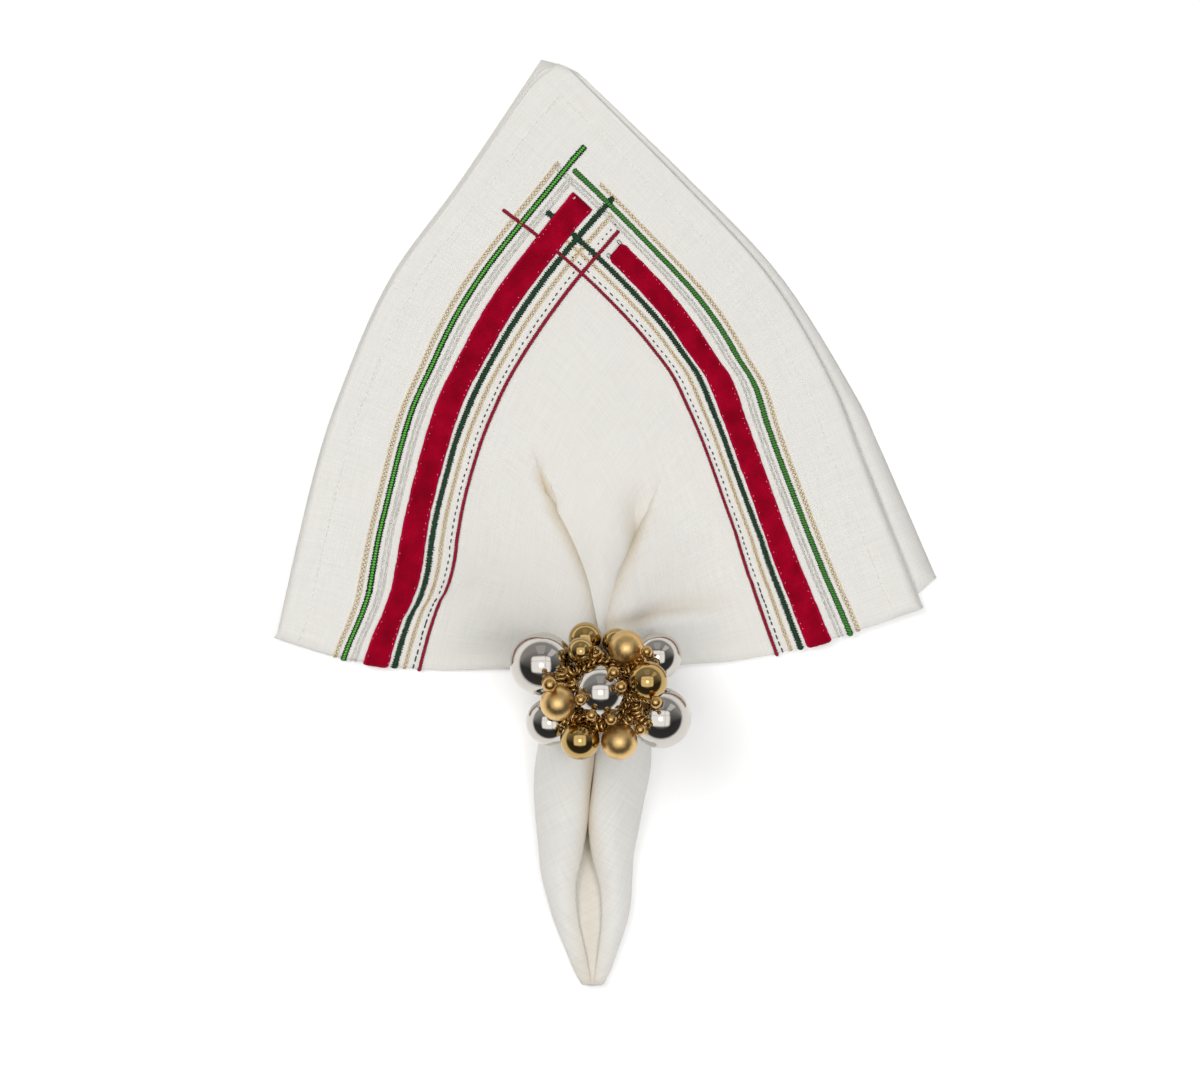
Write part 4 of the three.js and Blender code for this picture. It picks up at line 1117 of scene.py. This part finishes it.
def turned(profile, centre, axis, around):
    """Points and faces of a closed form turned about an axis from its centre."""
    helper = [0, 0, 1] if abs(axis[2]) < 0.9 else [1, 0, 0]
    ring = circle(np.arange(around) * FULL_TURN / around, *sideways(axis, helper))
    out, along = np.asarray(profile, float).T
    body = centre + out[:, None, None] * ring[None] + along[:, None, None] * axis
    ends = centre + along[[0, -1], None] * axis
    faces = grid_faces(len(out), around, closed=True).tolist()
    count = len(out) * around
    for k in range(around):
        beside = (k + 1) % around
        faces += [[count, k, beside], [count + 1, count - around + beside, count - around + k]]
    return np.concatenate([body.reshape(-1, 3), ends]), faces


def foot_of(dx, dy):
    """Where the stem of a ball stands on the ring."""
    foot = np.array([dx, dy, 0.0])
    foot *= min(1.0, FOOT_REACH / max(np.linalg.norm(foot), 1e-9))
    foot[1] = np.clip(foot[1], -FOOT_DEPTH, FOOT_DEPTH)
    return foot + (RING["x"], RING["y"], CROWN - 0.8)


def ball(name, finish, dx, dy, z, radius, around, down, collar):
    centre = np.array([RING["x"] + dx, RING["y"] + dy, z])
    axis = unit(foot_of(dx, dy) - centre)
    stop = math.pi - math.asin(collar)
    angle = np.linspace(0, stop, down)[1:]
    profile = [(radius * math.sin(a), -radius * math.cos(a)) for a in angle]
    rim, neck = radius * collar, -radius * math.cos(stop)
    lip = LIP * radius
    profile += [(rim + lip, neck + 0.2 * lip), (rim + 1.3 * lip, neck + lip), (rim + lip, neck + 2 * lip)]
    profile += [(rim * 0.75, neck + 2.6 * lip), (rim * 0.3, neck + 3 * lip)]
    points, faces = turned(profile, centre, axis, around)
    obj = make(f"{name}_plated", points, [face[::-1] for face in faces], finish, None)
    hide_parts(name)


for pieces, detail in ((CLUSTER, BALL_DETAIL), (BEADS, BEAD_DETAIL)):
    for name, row in pieces.items():
        ball(name, *row, *detail)


# Short springs of wire that fill the gaps: place from the ring's middle, and which way each leans
NESTS = [
    # x, y, z, lean x, lean y
    (-12, 7.5, 55, 0.8, 0.5),
    (-11, 2, 57.5, -0.3, 1),
    (12.5, 8.5, 56, 1, 0.2),
    (13, 1.5, 54.5, 0.3, -1),
    (-10.5, -9.5, 56, 0.9, -0.4),
    (0, -13.5, 54, 1, 0),
    (10.5, -11.5, 56, 0.8, 0.6),
    (14, -7, 57, -0.2, 1),
    (0.5, 12.5, 50, 1, 0.1),
    (-2.5, 14.5, 52, 0.4, 1),
    (17, -12, 55, 0.6, -0.8),
    (-14.5, -11.5, 52, -0.8, 0.5),
    (15, 11, 57, 0.3, 0.9),
    (-15.5, 7, 56, 0.2, 1),
    (3.5, -15, 50, -0.6, 0.7),
]
STEM = {"pitch": 3.6, "wide": 0.42, "thick": 0.5}  # the twisted pair below each ball
# The ropes wound round between the balls: z, how wide, thickness, lobes
ROPES = [(53.2, 11.7, 0.72, 5), (47.5, 13.2, 0.8, 4)]
ROPE_TURNS = 15


def coil(batch, start, end, wide, thick, pitch, phase):
    """A spring of wire from one point to another."""
    way = end - start
    long = np.linalg.norm(way)
    way = unit(way)
    t = np.linspace(0, 1, max(20, int(long / pitch * 12)))
    turn = t * long / pitch * FULL_TURN + phase
    far = wide * np.sin(math.pi * np.clip(0.12 + 0.76 * t, 0, 1)) ** 0.4
    path = start + (t * long)[:, None] * way + far[:, None] * circle(turn, *sideways(way, [0.2, 1, 0.1]))
    tube(batch, path, thick)


def stem(batch, foot, centre, radius):
    """A twisted pair of wires from the ring to a ball."""
    way = centre - foot
    reach = np.linalg.norm(way) - radius * 0.97
    way = unit(way)
    t = np.linspace(0, reach, max(8, int(reach / 0.6)))
    for phase in (0, math.pi):
        turn = t * FULL_TURN / STEM["pitch"] + phase
        twist = STEM["wide"] * circle(turn, *sideways(way, [0.3, 1, 0.2]))
        tube(batch, foot + t[:, None] * way + twist, STEM["thick"])


def rope(batch, middle, z, wide, thick, lobes):
    """A twisted pair of wires wound round the ring's middle."""
    around = np.linspace(0, FULL_TURN, 260)
    for phase in (0, math.pi):
        turn = around * ROPE_TURNS + phase
        far = wide + 0.5 * np.sin(lobes * around) + 0.8 * np.cos(turn)
        high = z + 1.2 * np.sin((lobes - 2) * around + 1) + 0.8 * np.sin(turn)
        path = np.stack([far * np.cos(around), far * np.sin(around), high], axis=-1) + middle
        tube(batch, path, thick)


def wires():
    batch = Batch()
    at_ring = np.array([RING["x"], RING["y"], 0])
    for _, dx, dy, z, radius in CLUSTER.values():
        stem(batch, foot_of(dx, dy), at_ring + (dx, dy, z), radius)
    for k, (_, dx, dy, z, radius) in enumerate(BEADS.values()):
        foot = foot_of(dx * 0.8, dy * 0.8)
        way = at_ring + (dx, dy, z) - foot
        reach = 1 - radius * 0.9 / np.linalg.norm(way)
        coil(batch, foot, foot + reach * way, 0.9, 0.5, 2.4, k)
    middle = at_ring + (0.3, -0.2, 0)
    for row in ROPES:
        rope(batch, middle, *row)
    for x, y, z, lean_x, lean_y in NESTS:
        half = unit(np.array([lean_x, lean_y, 0.7])) * 2.6
        at = middle + (x, y, z)
        coil(batch, at - half, at + half, 2.2, 0.8, 2.1, x)
    batch.build("ring_wires", WIRE, "ring_metal")


def swept(profile, turn, up):
    """Rows of points of a section, out from the ring's axis and along it, carried round that axis."""
    out, along = np.asarray(profile, float).T
    x = RING["x"] + np.sin(turn)[:, None] * out
    z = RING["z"] + up * np.cos(turn)[:, None] * out
    y = RING["y"] + np.broadcast_to(along, x.shape)
    return np.stack([x, y, z], axis=-1)


def band():
    batch = Batch()
    edge, outer = 0.7, RING["z"]
    high, low, side = outer - edge, RING["bore"] + edge, RING["width"] / 2 - edge
    rounded = []
    for quarter, (cx, cy) in enumerate([(high, side), (low, side), (low, -side), (high, -side)]):
        for a in np.linspace(0, math.pi / 2, 4) + quarter * math.pi / 2:
            rounded.append((cx + edge * math.cos(a), cy + edge * math.sin(a)))
    around = 128
    rows = swept(rounded, np.arange(around) * FULL_TURN / around, -1)
    batch.add(rows, grid_faces(around, len(rounded), closed=True, ring=True, flip=True))
    # the plate that carries the wires, bent over the crown
    plate_side = [(outer - 0.3, 3.5), (outer + 0.9, 3.5), (outer + 1.4, 3.0)]
    plate = plate_side + [(out, -along) for out, along in plate_side[::-1]]
    batch.add_bar(swept(plate, np.linspace(-0.36, 0.36, 24), 1), flip=True)
    obj = batch.build("ring_band", WIRE, "ring_metal")
    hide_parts("ring")


wires()
band()


# Table, lights and camera


def table():
    mesh = bpy.data.meshes.new("table")
    mesh.from_pydata([(-4, -4, 0), (4, -4, 0), (4, 4, 0), (-4, 4, 0)], [], [(0, 1, 2, 3)])
    mesh.materials.append(Shader("table", (0.97, 0.97, 0.97), 0.9, Specular_IOR_Level=0.1).material)
    put("table", mesh)


# How light the room is, from the horizon up to straight above
ROOM = [(0.0, 0.95), (0.045, 0.8), (0.10, 0.25), (0.18, 0.05), (0.7, 0.04), (1.0, 0.3)]


def softbox(name, at, size, power, color):
    """A large lamp aimed at the napkin, which the balls don't reflect."""
    light = bpy.data.lights.new(name, "AREA")
    light.shape = "RECTANGLE"
    light.size, light.size_y = size
    light.energy = power
    light.color = color
    obj = put(name, light)
    obj.location = at
    obj.rotation_euler = (-Vector(at)).to_track_quat("-Z", "Y").to_euler()
    obj.visible_glossy = False


def studio():
    """A white table in a dark room below one large bright window."""
    world = bpy.data.worlds.new("studio")
    bpy.context.scene.world = world
    world.use_nodes = True
    w = Nodes(world.node_tree)

    def strip(value, middle, half, soft):
        return w.spread(w.size(w.minus(value, middle)), half - soft, half + soft, 1.0, 0.0)

    x, y, z = w.parts(w.node("TexCoord").outputs["Generated"])[:3]
    height = w.most(z, 0.02)
    east, north = w.over(x, height), w.over(y, height)
    room = w.ramp(z, [(at, (grey, grey, grey)) for at, grey in ROOM])
    window = w.times(strip(east, -0.04, 0.72, 0.10), strip(north, -0.04, 0.60, 0.10))
    bars = w.most(strip(east, 0.28, 0.02, 0.015), strip(north, 0.2, 0.02, 0.015))
    lamp = w.times(strip(east, -0.02, 0.1, 0.05), strip(north, -0.06, 0.1, 0.05))
    glow = w.minus(w.plus(1.3, w.times(lamp, 5.0)), w.times(bars, 0.5))
    # a lighter wall seen to the north and a screen to the north-east
    bearing = w.over(east, w.most(north, 0.05))
    wall = w.times(strip(bearing, -0.05, 0.32, 0.04), strip(north, 1.9, 1.2, 0.1))
    screen = w.times(strip(bearing, 1.0, 0.35, 0.05), strip(north, 1.5, 0.9, 0.1))
    # the room is lighter to the north than to the south
    light = w.most(room, w.spread(north, -0.62, 1.2, 0.0, 0.36))
    for source in (w.times(window, glow), w.times(wall, 0.5), w.times(screen, 0.75)):
        light = w.most(light, source)
    w.join(light, w.tree.nodes["Background"].inputs[0])
    softbox("key", (-0.95, 0.6, 1.4), (1.2, 1.2), 15.0, (1.0, 0.99, 0.97))
    softbox("fill", (0.8, -0.9, 1.4), (1.1, 1.1), 13.0, (1.0, 1.0, 1.0))


LENS, SENSOR = 200, 36
VIEW_WIDTH = 0.48  # metres that the picture shows from side to side


def camera():
    data = bpy.data.cameras.new("camera")
    data.lens, data.sensor_width = LENS, SENSOR
    data.clip_end = 20
    obj = put("camera", data)
    obj.location = (-0.0026, -0.0046, VIEW_WIDTH * LENS / SENSOR + 0.005)
    bpy.context.scene.camera = obj


table()
studio()
camera()
bpy.context.scene.view_settings.view_transform = "Standard"
